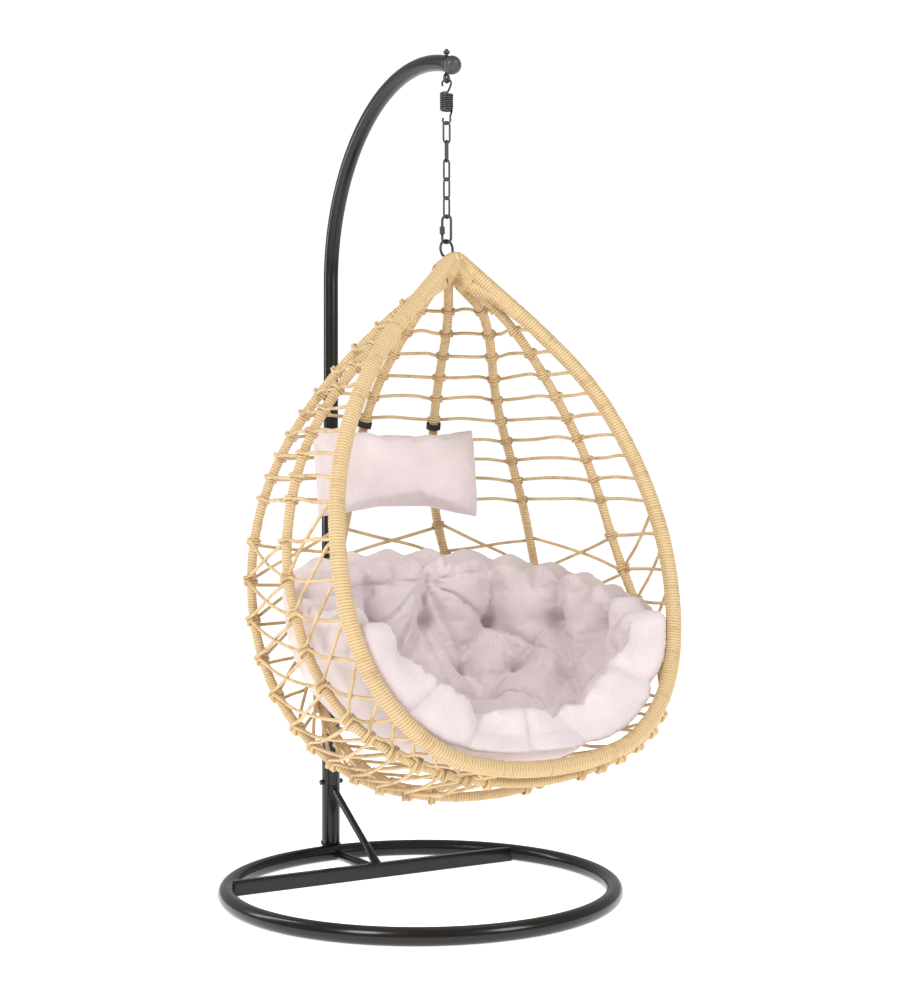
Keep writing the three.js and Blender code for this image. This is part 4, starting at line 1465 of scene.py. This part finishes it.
def read_points(piece):
    spots = np.empty(len(piece.data.vertices) * 3)
    piece.data.vertices.foreach_get("co", spots)
    return spots.reshape(-1, 3)


def apply_modifiers(piece):
    """Replaces the mesh by what its modifiers make of it."""
    depsgraph = bpy.context.evaluated_depsgraph_get()
    evaluated = piece.evaluated_get(depsgraph)
    # Without the depsgraph, a mesh that only a cloth modifier changes comes back empty.
    made = bpy.data.meshes.new_from_object(
        evaluated, preserve_all_data_layers=True, depsgraph=depsgraph
    )
    piece.modifiers.clear()
    piece.data = made


CLOTH_FRAMES = 18


def inflate(piece, limit, **settings):
    """Blows a cushion up as cloth, with no point more than `limit` from where it began."""
    before = read_points(piece)
    modifier = piece.modifiers.new("cloth", "CLOTH")
    cloth = modifier.settings
    cloth.quality = 5
    cloth.mass = 0.3
    cloth.use_pressure = True
    cloth.effector_weights.gravity = 0
    for name, value in settings.items():
        setattr(cloth, name, value)
    bpy.context.scene.frame_set(1)
    modifier.point_cache.frame_start = 1
    modifier.point_cache.frame_end = CLOTH_FRAMES
    for frame_number in range(1, CLOTH_FRAMES + 1):
        bpy.context.scene.frame_set(frame_number)
    apply_modifiers(piece)
    keep_within(piece, before, limit)


def keep_within(piece, before, limit):
    """Holds every point within a distance of where it began."""
    now = read_points(piece)
    move = now - before
    size = np.linalg.norm(move, axis=1)
    scale = np.minimum(1, limit / np.maximum(size, 1e-9))
    piece.data.vertices.foreach_set("co", (before + move * scale[:, None]).ravel())
    piece.data.update()


# ---- Pillow -------------------------------------------------------------------------
PILLOW_LEAN = math.radians(8.5)
PILLOW_HALF_THICK = 0.044
PILLOW_HALF_TALL = 0.1025


class MakePillow(bpy.types.Operator):
    """The head pillow, and the straps that hang it on the back ribs"""

    bl_idname = "chair.make_pillow"
    bl_label = "Head pillow"

    def execute(self, context):
        cloth = material_of("woven_polyester")
        low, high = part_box("head_pillow")
        middle = (low + high) / 2
        lean = Matrix.Rotation(-PILLOW_LEAN, 3, "X")
        half = Vector(((high.x - low.x) / 2, PILLOW_HALF_THICK, PILLOW_HALF_TALL))
        across, tall = 60, 30
        points, faces = [], []
        for face in (-1, 1):
            for j in range(tall + 1):
                for i in range(across + 1):
                    u, v = i / across * 2 - 1, j / tall * 2 - 1
                    x, z = u * half.x * 0.98, v * half.z * 0.98
                    # Corners are drawn in a little and the thickness dies away at the seam.
                    edge = (1 - abs(u) ** 3.2) * (1 - abs(v) ** 2.6)
                    y = face * half.y * 0.88 * max(0.0, edge) ** 0.5
                    fold = 0.004 * math.sin(u * 17 + v * 2) * max(0.0, v) * edge ** 0.5
                    points.append(middle + lean @ Vector((x, y + fold * face, z)))
        row = across + 1
        layer = row * (tall + 1)
        for face in (0, 1):
            for j in range(tall):
                for i in range(across):
                    a = face * layer + j * row + i
                    quad = (a, a + 1, a + 1 + row, a + row)
                    faces.append(quad if face == 0 else quad[::-1])
        pillow = mesh_object("soft_pillow", points, faces, cloth)
        work = bmesh.new()
        work.from_mesh(pillow.data)
        bmesh.ops.remove_doubles(work, verts=work.verts, dist=0.0004)
        work.to_mesh(pillow.data)
        work.free()
        inflate(
            pillow, 14 * MM, tension_stiffness=8, compression_stiffness=8, shear_stiffness=4,
            bending_stiffness=0.3, uniform_pressure_force=3, shrink_min=-0.10,
        )
        modifier = pillow.modifiers.new("subdivide", "SUBSURF")
        modifier.levels = modifier.render_levels = 1
        apply_modifiers(pillow)
        pillow.data.polygons.foreach_set("use_smooth", [True] * len(pillow.data.polygons))
        finish_piece(pillow, "basket", "cloth", "head_pillow")
        self.make_straps()
        return {"FINISHED"}

    def make_straps(self):
        webbing = material_of("woven_webbing")
        for side, node in (("left", "pillow_strap_left"), ("right", "pillow_strap_right")):
            strap = NODES[node]
            strap.data.materials.clear()
            strap.data.materials.append(webbing)


PIECES = (
    (MakeStage, None),
    (MakeStand, "chair_stand"),
    (MakeSuspension, "chair_chain"),
    (MakeHoops, "chair_rattan"),
    (MakeWeave, None),
    (MakeBinding, None),
    (MakeCushion, "chair_cushion"),
    (MakePillow, None),
)


class ChairPanel(bpy.types.Panel):
    bl_idname = "CHAIR_PT_panel"
    bl_label = "Hanging chair"
    bl_space_type = "VIEW_3D"
    bl_region_type = "UI"
    bl_category = "Chair"

    def draw(self, context):
        for piece, settings in PIECES:
            box = self.layout.box()
            box.operator(piece.bl_idname)
            if settings:
                group = getattr(context.scene, settings)
                for name in group.bl_rna.properties.keys():
                    if name not in ("rna_type", "name"):
                        box.prop(group, name)


SETTINGS = {
    "chair_stand": StandSettings,
    "chair_chain": ChainSettings,
    "chair_rattan": RattanSettings,
    "chair_cushion": CushionSettings,
}
CLASSES = (*SETTINGS.values(), *(piece for piece, _ in PIECES), ChairPanel)


def register():
    for item in CLASSES:
        bpy.utils.register_class(item)
    for name, settings in SETTINGS.items():
        setattr(bpy.types.Scene, name, bpy.props.PointerProperty(type=settings))


def unregister():
    for name in SETTINGS:
        delattr(bpy.types.Scene, name)
    for item in reversed(CLASSES):
        bpy.utils.unregister_class(item)


def main():
    register()
    bpy.ops.chair.make_stage()
    bpy.ops.chair.make_stand()
    bpy.ops.chair.make_suspension()
    bpy.ops.chair.make_hoops()
    bpy.ops.chair.make_weave()
    bpy.ops.chair.make_binding()
    bpy.ops.chair.make_cushion()
    bpy.ops.chair.make_pillow()


if __name__ == "__main__":
    main()
